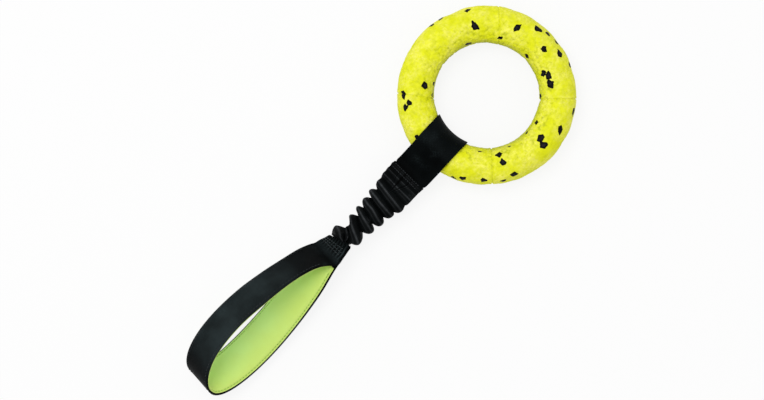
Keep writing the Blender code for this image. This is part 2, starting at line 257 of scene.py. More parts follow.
def curve_through(knots: Knots, at: Array, reach: float) -> Array:
    """The values of straight_through at evenly spaced places, softened over a reach in the places' unit."""
    step = at[1] - at[0]
    return softened(straight_through(knots, at)[:, None], reach / step)[:, 0]


def faces_out(block: Array) -> bool:
    """Whether a grid of rings, read row then column, faces away from the middle of each ring.

    Args:
        block: points by row, column and axis.

    Returns:
        True where the faces' normals and the ways out of the rings agree on the whole.
    """
    along = np.diff(block, axis=0)[:, :-1]
    around = np.diff(block, axis=1)[:-1]
    away = (block - block.mean(axis=1, keepdims=True))[:-1, :-1]
    return float((np.cross(along, around) * away).sum()) > 0.0


def ringed(
    name: str, blocks: Array, u: Array, v: Array, material: bpy.types.Material,
    wrap_rows: bool = False, capped: bool = False,
) -> bpy.types.Object:
    """One object of grids of closed rings, all joined alike.

    Args:
        name: the object's name.
        blocks: points by grid, row, column and axis; the columns close on themselves.
        u: the UV's first number by row, with one more where the rows close.
        v: its second number by column, with one more.
        material: its finish.
        wrap_rows: whether the last row joins the first.
        capped: whether the first and last rings are filled.

    Returns:
        The object.
    """
    count, rows, columns = blocks.shape[:3]
    way = 1 if faces_out(blocks[0]) else -1
    uv = np.stack(np.meshgrid(u, v, indexing="ij"), axis=-1)
    row, column = np.meshgrid(np.arange(rows - (not wrap_rows)), np.arange(columns), indexing="ij")
    down = (row[..., None] + FACE_DOWN[::way]).reshape(-1, 4)
    over = (column[..., None] + FACE_OVER[::way]).reshape(-1, 4)
    faces = [((down % rows) * columns + over % columns, uv[down, over])]
    if capped:
        ring = np.arange(columns)[::way]
        for at, cap in ((0, ring), (rows - 1, ring[::-1])):
            faces.append(((at * columns + cap)[None], uv[at, cap][None]))
    base = np.arange(count)[:, None] * rows * columns
    corners = np.concatenate([(base + corner.reshape(1, -1)).ravel() for corner, _ in faces])
    sizes = np.concatenate([np.full(count * len(corner), corner.shape[1]) for corner, _ in faces])
    uvs = np.concatenate([np.tile(part.reshape(-1, 2), (count, 1)) for _, part in faces])
    return placed_mesh(name, blocks.reshape(-1, 3), corners, sizes, uvs, material)


def placed_mesh(
    name: str, points: Array, corners: Array, sizes: Array, uvs: Array, material: bpy.types.Material,
) -> bpy.types.Object:
    """An object in the scene, smooth but for its sharp edges.

    Args:
        name: the object's name.
        points: its points.
        corners: the number of the point at each corner, face after face.
        sizes: how many corners each face has.
        uvs: the UV of each corner.
        material: its finish.

    Returns:
        The object.
    """
    mesh = bpy.data.meshes.new(name)
    mesh.vertices.add(len(points))
    mesh.vertices.foreach_set("co", points.ravel())
    mesh.loops.add(len(corners))
    mesh.loops.foreach_set("vertex_index", corners.astype(np.int32))
    mesh.polygons.add(len(sizes))
    starts = np.concatenate([[0], np.cumsum(sizes)[:-1]])
    mesh.polygons.foreach_set("loop_start", starts.astype(np.int32))
    mesh.uv_layers.new(name="UVMap").data.foreach_set("uv", uvs.ravel())
    mesh.update(calc_edges=True)
    mesh.validate()
    mesh.shade_smooth()
    mesh.set_sharp_from_angle(angle=SHARP_ANGLE)
    mesh.materials.append(material)
    return linked(name, mesh)


def linked(name: str, data: bpy.types.ID) -> bpy.types.Object:
    """A new object of a mesh, a lamp or a camera, in the scene.

    Args:
        name: the object's name.
        data: what it shows.

    Returns:
        The object.
    """
    made = bpy.data.objects.new(name, data)
    bpy.context.scene.collection.objects.link(made)
    return made


def mark(obj: bpy.types.Object, name: str, values: Array) -> None:
    """Stores one number for each of a mesh's points, for its material to read."""
    attribute = obj.data.attributes.new(name, "FLOAT", "POINT")
    attribute.data.foreach_set("value", values.astype(np.float32).ravel())


def tell(obj: bpy.types.Object, words: str) -> None:
    """Reports a finished piece."""
    report.info("%s: %d faces, %s", obj.name, len(obj.data.polygons), words)


@dataclass(frozen=True)
class Layout:
    """The toy's main places, as the frame gives them."""

    ring_x: float
    ring_radius: float
    tube_radius: float
    axis_z: float
    sleeve_x: float
    sleeve_end_x: float
    throat_x: float

    @classmethod
    def from_frame(cls) -> "Layout":
        """Reads the ring and the sleeve from their nodes' boxes, and the throat from the joint there.

        Returns:
            The layout.
        """
        low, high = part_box("ring")
        tube = (high.z - low.z) / 2
        sleeve_low, sleeve_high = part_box("gathered_sleeve")
        throat = next(joint for joint in frame["joints"] if joint["name"] == "handle_swing")
        return cls(
            ring_x=(low.x + high.x) / 2, ring_radius=(high.x - low.x) / 2 - tube, tube_radius=tube,
            axis_z=(low.z + high.z) / 2, sleeve_x=sleeve_high.x, sleeve_end_x=sleeve_low.x,
            throat_x=throat["pos_m"][0],
        )

    @property
    def tube_x(self) -> float:
        """Where the ring's tube lies in the strap."""
        return self.ring_x - self.ring_radius

    @property
    def hole_radius(self) -> float:
        """The radius of the ring's hole."""
        return self.ring_radius - self.tube_radius

    @property
    def sleeve_length(self) -> float:
        """The sleeve's length between the two sewn ends."""
        return self.sleeve_x - self.sleeve_end_x

    def placed(self, x: Array, w: Array, n: Array, roll: Array | float) -> Array:
        """Places about the long axis: the sum of the ways along X, across a band and through it.

        Args:
            x: how far along X.
            w: how far across the band.
            n: how far through it.
            roll: the band's roll about X.

        Returns:
            The places, along a new last axis.
        """
        x, w, n, roll = np.broadcast_arrays(x, w, n, roll)
        line = together(x, 0.0, self.axis_z)
        return line + w[..., None] * across(roll) + n[..., None] * through(roll)

    def on_axis(self, x: float) -> Place:
        """The point of the long axis at that x."""
        return (x, 0.0, self.axis_z)


@dataclass(frozen=True)
class Colour:
    """A colour as a display shows it, each channel from 0 to 255."""

    red: int
    green: int
    blue: int

    def linear(self) -> tuple[float, float, float, float]:
        """The same colour as the shaders take it, with the display's curve undone.

        Returns:
            Red, green, blue and a full alpha.
        """
        shown = np.array([self.red, self.green, self.blue]) / DISPLAY_WHITE
        curved = ((shown + CURVE_OFFSET) / (1.0 + CURVE_OFFSET)) ** CURVE_POWER
        flat = np.where(shown <= CURVE_KNEE, shown / CURVE_SLOPE, curved)
        return (float(flat[0]), float(flat[1]), float(flat[2]), 1.0)


class Bench:
    """Adds nodes to a tree and joins their sockets. A value is a number, a colour or another socket."""

    def __init__(self, tree: bpy.types.NodeTree) -> None:
        """Works on that tree."""
        self.tree = tree

    def add(self, kind: str, inputs: dict | None = None, **settings: object) -> bpy.types.Node:
        """A new node.

        Args:
            kind: the node's type, without its ShaderNode in front.
            inputs: by socket name or number, a value.
            **settings: the node's own properties.

        Returns:
            The node.
        """
        node = self.tree.nodes.new("ShaderNode" + kind)
        for name, value in settings.items():
            setattr(node, name, value)
        for key, value in (inputs or {}).items():
            self.feed(node.inputs[key], value)
        return node

    def feed(self, socket: Socket, value: object) -> None:
        """Sets a socket to a number or a colour, or joins it to another socket.

        Args:
            socket: the socket that is fed.
            value: what it gets.
        """
        if isinstance(value, Socket):
            self.tree.links.new(value, socket)
        else:
            socket.default_value = value.linear() if isinstance(value, Colour) else value

    def math(self, operation: str, *values: object) -> Socket:
        """The result of one sum on values."""
        return self.add("Math", dict(enumerate(values)), operation=operation).outputs[0]

    def ramp(self, value: object, low: float, high: float) -> Socket:
        """A value's place between low, which gives 0, and high, which gives 1, along an even S."""
        inputs = {"Value": value, "From Min": low, "From Max": high}
        return self.add("MapRange", inputs, interpolation_type="SMOOTHSTEP").outputs["Result"]

    def mix(self, share: object, first: object, second: object) -> Socket:
        """One colour carried to another by a share.

        Args:
            share: 0 gives the first colour and 1 the second.
            first: the first colour.
            second: the second colour.

        Returns:
            The mixed colour.
        """
        node = self.add("Mix", data_type="RGBA")
        colours = [socket for socket in node.inputs if socket.type == "RGBA"]
        for socket, value in zip((node.inputs["Factor"], *colours), (share, first, second)):
            self.feed(socket, value)
        return next(socket for socket in node.outputs if socket.type == "RGBA")

    def stored(self, name: str) -> Socket:
        """The number that the mesh stores for each of its points under that name."""
        return self.add("Attribute", attribute_name=name).outputs["Fac"]

    def clouds(self, place: object, scale: object, detail: float, roughness: float = 0.5) -> Socket:
        """Fractal noise about a half, of that scale, with that many finer layers of that share each."""
        inputs = {"Vector": place, "Scale": scale, "Detail": detail, "Roughness": roughness}
        return self.add("TexNoise", inputs).outputs[0]

    def group(self, name: str, **inputs: object) -> bpy.types.NodeOutputs:
        """The outputs of a node that holds one of the shared effects, its inputs fed by name."""
        return self.add("Group", inputs, node_tree=Effects.named(name)).outputs


class Effects:
    """The shared effects, each a node group that is built once by the method of its name."""

    @classmethod
    def named(cls, name: str) -> bpy.types.NodeTree:
        """The group of that name, made on its first use."""
        return bpy.data.node_groups.get(name) or getattr(cls, name)()

    @staticmethod
    def begun(
        name: str, inputs: dict[str, float | str], outputs: tuple[str, ...],
    ) -> tuple[Bench, dict[str, Socket], dict[str, Socket]]:
        """Starts a group.

        Args:
            name: the group's name.
            inputs: by name, a number for a value, or "vector".
            outputs: the names of its values.

        Returns:
            A bench, its inputs' sockets by name, and its outputs' sockets by name.
        """
        tree = bpy.data.node_groups.new(name, "ShaderNodeTree")
        for key, value in inputs.items():
            kind = "NodeSocketVector" if value == "vector" else "NodeSocketFloat"
            socket = tree.interface.new_socket(key, in_out="INPUT", socket_type=kind)
            if value != "vector":
                socket.default_value = value
        for key in outputs:
            tree.interface.new_socket(key, in_out="OUTPUT", socket_type="NodeSocketFloat")
        entry = tree.nodes.new("NodeGroupInput")
        leave = tree.nodes.new("NodeGroupOutput")
        return Bench(tree), dict(entry.outputs.items()), dict(leave.inputs.items())

    @classmethod
    def woven_ribs(cls) -> bpy.types.NodeTree:
        """Warp ribs along a strap, each crossed by picks that stand half a pick away from its neighbour's.

        The height is the size of the sine across a rib, times a wave along it.

        Returns:
            The group, which takes the UV, a rib's and a pick's width and how deep the wave is.
        """
        given = {"UV": "vector", "Rib": 0.001, "Pick": 0.002, "Cross": 0.4}
        bench, given, out = cls.begun("woven_ribs", given, ("Height", "Shade"))
        parts = bench.add("SeparateXYZ", {0: given["UV"]}).outputs
        rib = bench.math("DIVIDE", parts[1], given["Rib"])
        shift = bench.math("MULTIPLY", bench.math("FLOOR", rib), 0.5)
        pick = bench.math("ADD", bench.math("DIVIDE", parts[0], given["Pick"]), shift)
        ridge = bench.math("ABSOLUTE", bench.math("SINE", bench.math("MULTIPLY", rib, math.pi)))
        wave = bench.math("COSINE", bench.math("MULTIPLY", pick, 2 * math.pi))
        dip = bench.math("MULTIPLY", given["Cross"], bench.math("MULTIPLY_ADD", wave, -0.5, 0.5))
        height = bench.math("MULTIPLY", ridge, bench.math("SUBTRACT", 1.0, dip))
        bench.feed(out["Height"], height)
        bench.feed(out["Shade"], bench.ramp(height, 0.1, 0.8))
        return bench.tree

    @classmethod
    def mottle(cls) -> bpy.types.NodeTree:
        """Uneven patches: fractal noise spread to the range 0 to 1, coarse for tone and fine for grain.

        Returns:
            The group, which takes a place and the two scales.
        """
        given = {"Place": "vector", "Coarse": 100.0, "Fine": 2000.0}
        bench, given, out = cls.begun("mottle", given, ("Tone", "Grain"))
        for key, scale in (("Tone", "Coarse"), ("Grain", "Fine")):
            value = bench.clouds(given["Place"], given[scale], 3.0, 0.55)
            bench.feed(out[key], bench.ramp(value, 0.3, 0.7))
        return bench.tree

    @classmethod
    def chip_mask(cls) -> bpy.types.NodeTree:
        """Rubber chips, drawn where the signed distance to their edge is below 0.

        Returns:
            The group, which takes that distance and a raggedness, in millimetres, and gives a mask and how
            near a chip's middle a point lies.
        """
        given = {"Distance": 0.0, "Rough": 0.0}
        bench, given, out = cls.begun("chip_mask", given, ("Mask", "Middle"))
        ragged = bench.math("ADD", given["Distance"], given["Rough"])
        bench.feed(out["Mask"], bench.ramp(ragged, 0.1, -0.2))
        bench.feed(out["Middle"], bench.ramp(given["Distance"], -1.0, -2.2))
        return bench.tree

    @classmethod
    def twist(cls) -> bpy.types.NodeTree:
        """The lay of a three-strand thread: a sine whose phase climbs along the thread and round it.

        Returns:
            The group, which takes the UV and the length of one lay.
        """
        bench, given, out = cls.begun("twist", {"UV": "vector", "Lay": 0.001}, ("Height",))
        parts = bench.add("SeparateXYZ", {0: given["UV"]}).outputs
        lays = bench.math("DIVIDE", parts[0], given["Lay"])
        turns = bench.math("ADD", lays, bench.math("MULTIPLY", parts[1], 3.0))
        wave = bench.math("SINE", bench.math("MULTIPLY", turns, 2 * math.pi))
        bench.feed(out["Height"], bench.math("MULTIPLY_ADD", wave, 0.5, 0.5))
        return bench.tree

    @classmethod
    def wear(cls) -> bpy.types.NodeTree:
        """Rubbed patches: coarse noise kept only where it is high, and broken up by fine noise.

        Returns:
            The group, which takes a place, a scale and how high the noise must be.
        """
        given = {"Place": "vector", "Scale": 60.0, "Reach": 0.6}
        bench, given, out = cls.begun("wear", given, ("Rub",))
        coarse = bench.clouds(given["Place"], given["Scale"], 5.0)
        fine = bench.clouds(given["Place"], bench.math("MULTIPLY", given["Scale"], 14.0), 2.0)
        high = bench.math("ADD", given["Reach"], 0.15)
        limits = {"Value": coarse, "From Min": given["Reach"], "From Max": high}
        patch = bench.add("MapRange", limits).outputs["Result"]
        bench.feed(out["Rub"], bench.math("MULTIPLY", patch, bench.ramp(fine, 0.35, 0.65)))
        return bench.tree


@dataclass(frozen=True, kw_only=True)
class Finish:
    """What every finish has: its name, how it mirrors, its sheen, and its relief's depth and strength."""

    name: str
    roughness: float
    specular: float
    sheen: float = 0.0
    sheen_roughness: float = 0.5
    depth: float
    strength: float

    def paint(self, bench: Bench) -> tuple[Socket, Socket, Socket]:
        """The colour, the roughness and the height over the surface, which each kind of finish makes."""
        raise NotImplementedError

    def uneven(self, bench: Bench, value: object, spread: float) -> Socket:
        """A roughness that swings by a spread about the finish's own as a value goes from 0 to 1."""
        return bench.math("MULTIPLY_ADD", value, spread, self.roughness - spread / 2)

    def build(self) -> bpy.types.Material:
        """The material: the constants set on its shader's own sockets, and the rest fed by its nodes.

        Returns:
            The material.
        """
        made = bpy.data.materials.new(self.name)
        made.use_nodes = True
        bench = Bench(made.node_tree)
        colour, roughness, height = self.paint(bench)
        relief = {"Height": height, "Distance": self.depth, "Strength": self.strength}
        fed = {
            "Specular IOR Level": self.specular, "Sheen Weight": self.sheen,
            "Sheen Roughness": self.sheen_roughness, "Base Color": colour, "Roughness": roughness,
            "Normal": bench.add("Bump", relief).outputs["Normal"],
        }
        for name, value in fed.items():
            bench.feed(made.node_tree.nodes["Principled BSDF"].inputs[name], value)
        return made


@dataclass(frozen=True, kw_only=True)
class FoamRubber(Finish):
    """Moulded foam rubber with angular chips of another rubber in it."""

    bright: Colour
    # The darker olive, for random tone and for painted shade
    deep: Colour
    # The pale yellow of the painted highlight patches
    pale: Colour
    chip: Colour
    # The grey of the painted highlight at a chip's middle
    chip_highlight: Colour
    depth: float = 0.10 * MM
    strength: float = 0.8

    def paint(self, bench: Bench) -> tuple[Socket, Socket, Socket]:
        """Mottled colour, pale patches painted as highlights, painted shade where the mesh stores it, a fine
        skin grain, and chips where the mesh's distance says, each lighter towards its middle as a painted
        highlight.

        Args:
            bench: adds the nodes.

        Returns:
            The colour, the roughness and the height.
        """
        place = bench.add("TexCoord").outputs["Object"]
        spots = bench.group("mottle", Place=place, Coarse=260.0, Fine=1700.0)
        patches = bench.group("mottle", Place=place, Coarse=75.0, Fine=420.0)
        # Pale patches at random places, painted highlights of the skin's sheen
        pale_highlight_patches = bench.math("MULTIPLY_ADD", patches["Grain"], 0.7, 0.15)
        pale_highlight_patches = bench.math("MULTIPLY", patches["Tone"], pale_highlight_patches)
        skin = bench.mix(pale_highlight_patches, self.bright, self.pale)
        skin = bench.mix(bench.math("MULTIPLY", spots["Tone"], 0.22), skin, self.deep)
        # Painted shade: the mesh's stored share carries the skin to the deep olive
        skin = bench.mix(bench.stored("painted_shade"), skin, self.deep)
        ragged = bench.math("MULTIPLY_ADD", patches["Grain"], 0.5, -0.25)
        chips = bench.group("chip_mask", Distance=bench.stored("chip"), Rough=ragged)
        # Painted highlight: each chip lighter towards its middle
        middle = bench.math("MULTIPLY", chips["Middle"], spots["Tone"])
        rubber = bench.mix(middle, self.chip, self.chip_highlight)
        duller = bench.math("MULTIPLY", chips["Mask"], 0.1)
        roughness = bench.math("SUBTRACT", self.uneven(bench, spots["Grain"], 0.16), duller)
        height = bench.math("MULTIPLY_ADD", chips["Mask"], 0.8, spots["Grain"])
        return bench.mix(chips["Mask"], skin, rubber), roughness, height


@dataclass(frozen=True, kw_only=True)
class WovenCloth(Finish):
    """Woven nylon, as webbing or as the thinner cloth of the sleeve."""

    dark: Colour
    light: Colour
    # The lighter colour of real wear patches and of painted sheen
    wear_and_sheen: Colour
    rib: float
    pick: float
    wear_and_sheen_strength: float = 0.75
    sheen: float = 0.008
    sheen_roughness: float = 0.45
    strength: float = 0.7

    def paint(self, bench: Bench) -> tuple[Socket, Socket, Socket]:
        """Ribs and picks along the piece's own UV, with painted shade in their grooves, uneven in tone, with
        real wear in patches and painted sheen along its crests.

        Args:
            bench: adds the nodes.

        Returns:
            The colour, the roughness and the height.
        """
        coords = bench.add("TexCoord").outputs
        weave = bench.group("woven_ribs", UV=coords["UV"], Rib=self.rib, Pick=self.pick)
        tone = bench.group("mottle", Place=coords["Object"], Coarse=28.0, Fine=1500.0)
        patches = bench.group("wear", Place=coords["Object"], Scale=55.0, Reach=0.55)["Rub"]
        share = bench.math("MULTIPLY", weave["Shade"], bench.math("MULTIPLY_ADD", tone["Tone"], 0.8, 0.2))
        base = bench.mix(share, self.dark, self.light)
        # Painted sheen: the mesh's stored crest share, where the cloth would catch the light
        crest = bench.math("MULTIPLY_ADD", tone["Tone"], 0.5, 0.4)
        crest = bench.math("MULTIPLY", bench.stored("crest"), crest)
        # Real wear in patches and the painted sheen both lead to the lighter colour
        wear_and_sheen_amount = bench.math("MAXIMUM", bench.math("MULTIPLY", patches, 0.3), crest)
        wear_and_sheen_mix = bench.math("MULTIPLY", wear_and_sheen_amount, bench.math("MULTIPLY", weave["Shade"], self.wear_and_sheen_strength))
        height = bench.math("MULTIPLY_ADD", tone["Grain"], 0.3, weave["Height"])
        colour = bench.mix(wear_and_sheen_mix, base, self.wear_and_sheen)
        return colour, self.uneven(bench, tone["Tone"], 0.14), height


@dataclass(frozen=True, kw_only=True)
class SoftLining(Finish):
    """Smooth knitted face on a thin foam pad."""

    # The left and middle lime, lighter as painted light where the near strap shades the lining
    main: Colour
    # The lime at the right edge
    warm: Colour
    shade: Colour
    wale: float = 0.9 * MM
    course: float = 1.1 * MM
    sheen: float = 0.1
    depth: float = 0.05 * MM
    strength: float = 0.35

    def paint(self, bench: Bench) -> tuple[Socket, Socket, Socket]:
        """A fine knit along the piece's own UV with painted shade between its loops, two limes as a painted
        light gradient across the band, and painted shade in the pinch at each seam.

        Args:
            bench: adds the nodes.

        Returns:
            The colour, the roughness and the height.
        """
        coords = bench.add("TexCoord").outputs
        knit = bench.group("woven_ribs", UV=coords["UV"], Rib=self.wale, Pick=self.course, Cross=0.8)
        tone = bench.group("mottle", Place=coords["Object"], Coarse=22.0, Fine=900.0)
        swing = bench.math("SUBTRACT", tone["Tone"], 0.5)
        # Painted light: the limes run across the band, from the shaded left to the right edge
        painted_light_across = bench.math("MULTIPLY_ADD", swing, 0.4, bench.stored("painted_light_across"))
        colour = bench.mix(painted_light_across, self.main, self.warm)
        # Painted shade between the knit's loops
        between = bench.math("MULTIPLY_ADD", knit["Shade"], -0.06, 0.06)
        colour = bench.mix(between, colour, self.shade)
        # Painted shade in the pinch at each seam
        painted_shade = bench.math("MULTIPLY", bench.stored("painted_shade"), 0.16)
        colour = bench.mix(painted_shade, colour, self.shade)
        height = bench.math("MULTIPLY_ADD", tone["Grain"], 0.4, knit["Height"])
        return colour, self.uneven(bench, tone["Grain"], 0.1), height


@dataclass(frozen=True, kw_only=True)
class SewingThread(Finish):
    """Twisted sewing thread, or the wrapped rubber of an elastic cord."""

    dark: Colour
    light: Colour
    lay: float = 0.9 * MM
    depth: float = 0.08 * MM
    strength: float = 0.8

    def paint(self, bench: Bench) -> tuple[Socket, Socket, Socket]:
        """A twist along the piece's own UV, with painted shade between the strands.

        Args:
            bench: adds the nodes.

        Returns:
            The colour, the roughness and the height.
        """
        coords = bench.add("TexCoord").outputs
        strand = bench.group("twist", UV=coords["UV"], Lay=self.lay)["Height"]
        tone = bench.group("mottle", Place=coords["Object"], Coarse=160.0, Fine=2500.0)
        share = bench.math("MULTIPLY", strand, bench.math("MULTIPLY_ADD", tone["Tone"], 0.5, 0.5))
        colour = bench.mix(share, self.dark, self.light)
        return colour, self.uneven(bench, tone["Grain"], 0.15), strand


@dataclass(frozen=True)
class Finishes:
    """The toy's finishes, each built once."""

    foam: bpy.types.Material
    webbing: bpy.types.Material
    sleeve: bpy.types.Material
    lining: bpy.types.Material
    black_thread: bpy.types.Material
    grey_thread: bpy.types.Material
    lime_thread: bpy.types.Material
    elastic: bpy.types.Material

    @classmethod
    def build(cls) -> "Finishes":
        """Makes every material with its colours.

        Returns:
            The finishes.
        """
        black, charcoal = Colour(0, 0, 0), Colour(13, 17, 18)
        made = {
            # Foam: the deep olive serves random tone and painted shade, the pale yellow is painted
            # highlight, and the chips' grey middles are painted highlight
            "foam": FoamRubber(
                name="yellow_foam_rubber", roughness=0.5, specular=0.07, bright=Colour(228, 231, 24),
                deep=Colour(148, 158, 8), pale=Colour(252, 246, 116), chip=Colour(1, 0, 2),
                chip_highlight=Colour(34, 31, 38),
            ),
            # Each cloth's lighter colour serves real wear patches and painted sheen
            "webbing": WovenCloth(
                name="black_webbing", roughness=0.48, specular=0.012, dark=black, light=charcoal,
                wear_and_sheen=Colour(62, 74, 76), rib=1.0 * MM, pick=2.2 * MM, depth=0.16 * MM,
            ),
            "sleeve": WovenCloth(
                name="black_sleeve_cloth", roughness=0.42, specular=0.018, dark=black, light=charcoal,
                wear_and_sheen=Colour(104, 108, 112), rib=0.7 * MM, pick=1.2 * MM, depth=0.10 * MM, wear_and_sheen_strength=0.9,
            ),
            # The lining's left lime is lighter as painted light, for the near strap's shade
            "lining": SoftLining(
                name="lime_lining", roughness=0.8, specular=0.1, main=Colour(205, 242, 151),
                warm=Colour(198, 221, 116), shade=Colour(130, 172, 64),
            ),
            "black_thread": SewingThread(
                name="black_thread", roughness=0.5, specular=0.12, dark=Colour(8, 8, 10),
                light=Colour(70, 74, 78),
            ),
            "grey_thread": SewingThread(
                name="grey_thread", roughness=0.5, specular=0.1, dark=Colour(20, 22, 24),
                light=Colour(84, 90, 92),
            ),
            "lime_thread": SewingThread(
                name="lime_thread", roughness=0.6, specular=0.3, dark=Colour(96, 130, 40),
                light=Colour(186, 222, 104),
            ),
            "elastic": SewingThread(
                name="wrapped_elastic", roughness=0.6, specular=0.3, dark=Colour(120, 108, 84),
                light=Colour(214, 204, 178), lay=3.0 * MM, depth=0.2 * MM,
            ),
        }
        return cls(**{part: finish.build() for part, finish in made.items()})


@dataclass
class SubAssembly:
    """What every sub-assembly of the toy is built with: its places and its finishes."""

    layout: Layout
    finishes: Finishes


@dataclass(frozen=True)
class Chip:
    """One rubber chip on the ring's upper face.

    angle is round the ring in degrees, radius its distance from the ring's axis, length and width its size
    on the surface, and tilt how far its length leans from the way round the ring, in degrees. All but the
    angles are in millimetres.
    """

    angle: float
    radius: float
    length: float
    width: float
    tilt: float


UPPER_CHIPS = tuple(Chip(*sizes) for sizes in (
    (58.0, 82.2, 5.5, 4.5, 0.0), (76.0, 84.4, 5.0, 4.5, 0.0), (83.0, 84.2, 5.0, 4.0, 0.0),
    (55.0, 65.5, 6.5, 7.6, 10.0), (64.0, 50.7, 6.5, 5.0, 0.0), (32.0, 55.1, 5.0, 3.4, 35.0),
    (21.0, 69.1, 6.4, 5.6, 60.0), (7.0, 78.9, 8.0, 6.0, 15.0), (0.0, 82.7, 6.3, 5.0, 0.0),
    (352.0, 84.1, 5.5, 5.0, 0.0), (354.0, 68.6, 6.9, 5.4, 70.0), (344.0, 79.3, 6.0, 6.5, 0.0),
    (359.0, 52.3, 6.0, 4.8, 0.0), (335.0, 84.5, 5.5, 4.0, 0.0), (336.0, 56.7, 5.6, 7.2, 20.0),
    (332.0, 60.5, 7.0, 6.4, -20.0), (325.0, 59.6, 9.6, 5.4, 20.0), (314.0, 50.6, 4.5, 4.0, 0.0),
    (304.0, 83.8, 7.3, 5.0, 0.0), (290.0, 76.6, 6.6, 5.8, 10.0), (286.0, 53.5, 4.2, 4.2, 30.0),
    (272.0, 51.2, 4.0, 3.5, 0.0), (276.0, 65.0, 6.5, 7.6, 60.0), (273.0, 71.6, 7.0, 7.8, 40.0),
    (249.0, 52.7, 3.0, 2.4, 0.0), (236.0, 56.9, 7.2, 5.0, 10.0), (218.0, 53.4, 4.2, 3.0, 0.0),
    (238.0, 65.7, 7.0, 5.8, -30.0), (244.0, 79.9, 5.8, 6.0, 0.0), (236.0, 82.8, 5.3, 4.5, 0.0),
    (223.0, 81.2, 6.0, 5.2, 0.0), (209.0, 82.2, 6.4, 5.0, 0.0), (203.0, 84.4, 5.0, 4.0, 0.0),
    (166.0, 77.6, 5.0, 4.5, 0.0), (144.0, 78.3, 7.0, 5.2, -20.0), (141.0, 74.4, 5.8, 5.6, 30.0),
    (135.0, 79.6, 7.4, 5.8, 30.0), (127.0, 59.5, 7.4, 6.0, 45.0), (123.0, 51.2, 4.0, 4.0, 0.0),
    (135.0, 51.0, 4.0, 3.5, 0.0),
))

# Each mould line's angle at the hole and at the rim, in degrees
MOULD_LINES = ((31.9, 37.5), (-49.7, -47.3), (-129.8, -131.3), (138.7, 133.6))


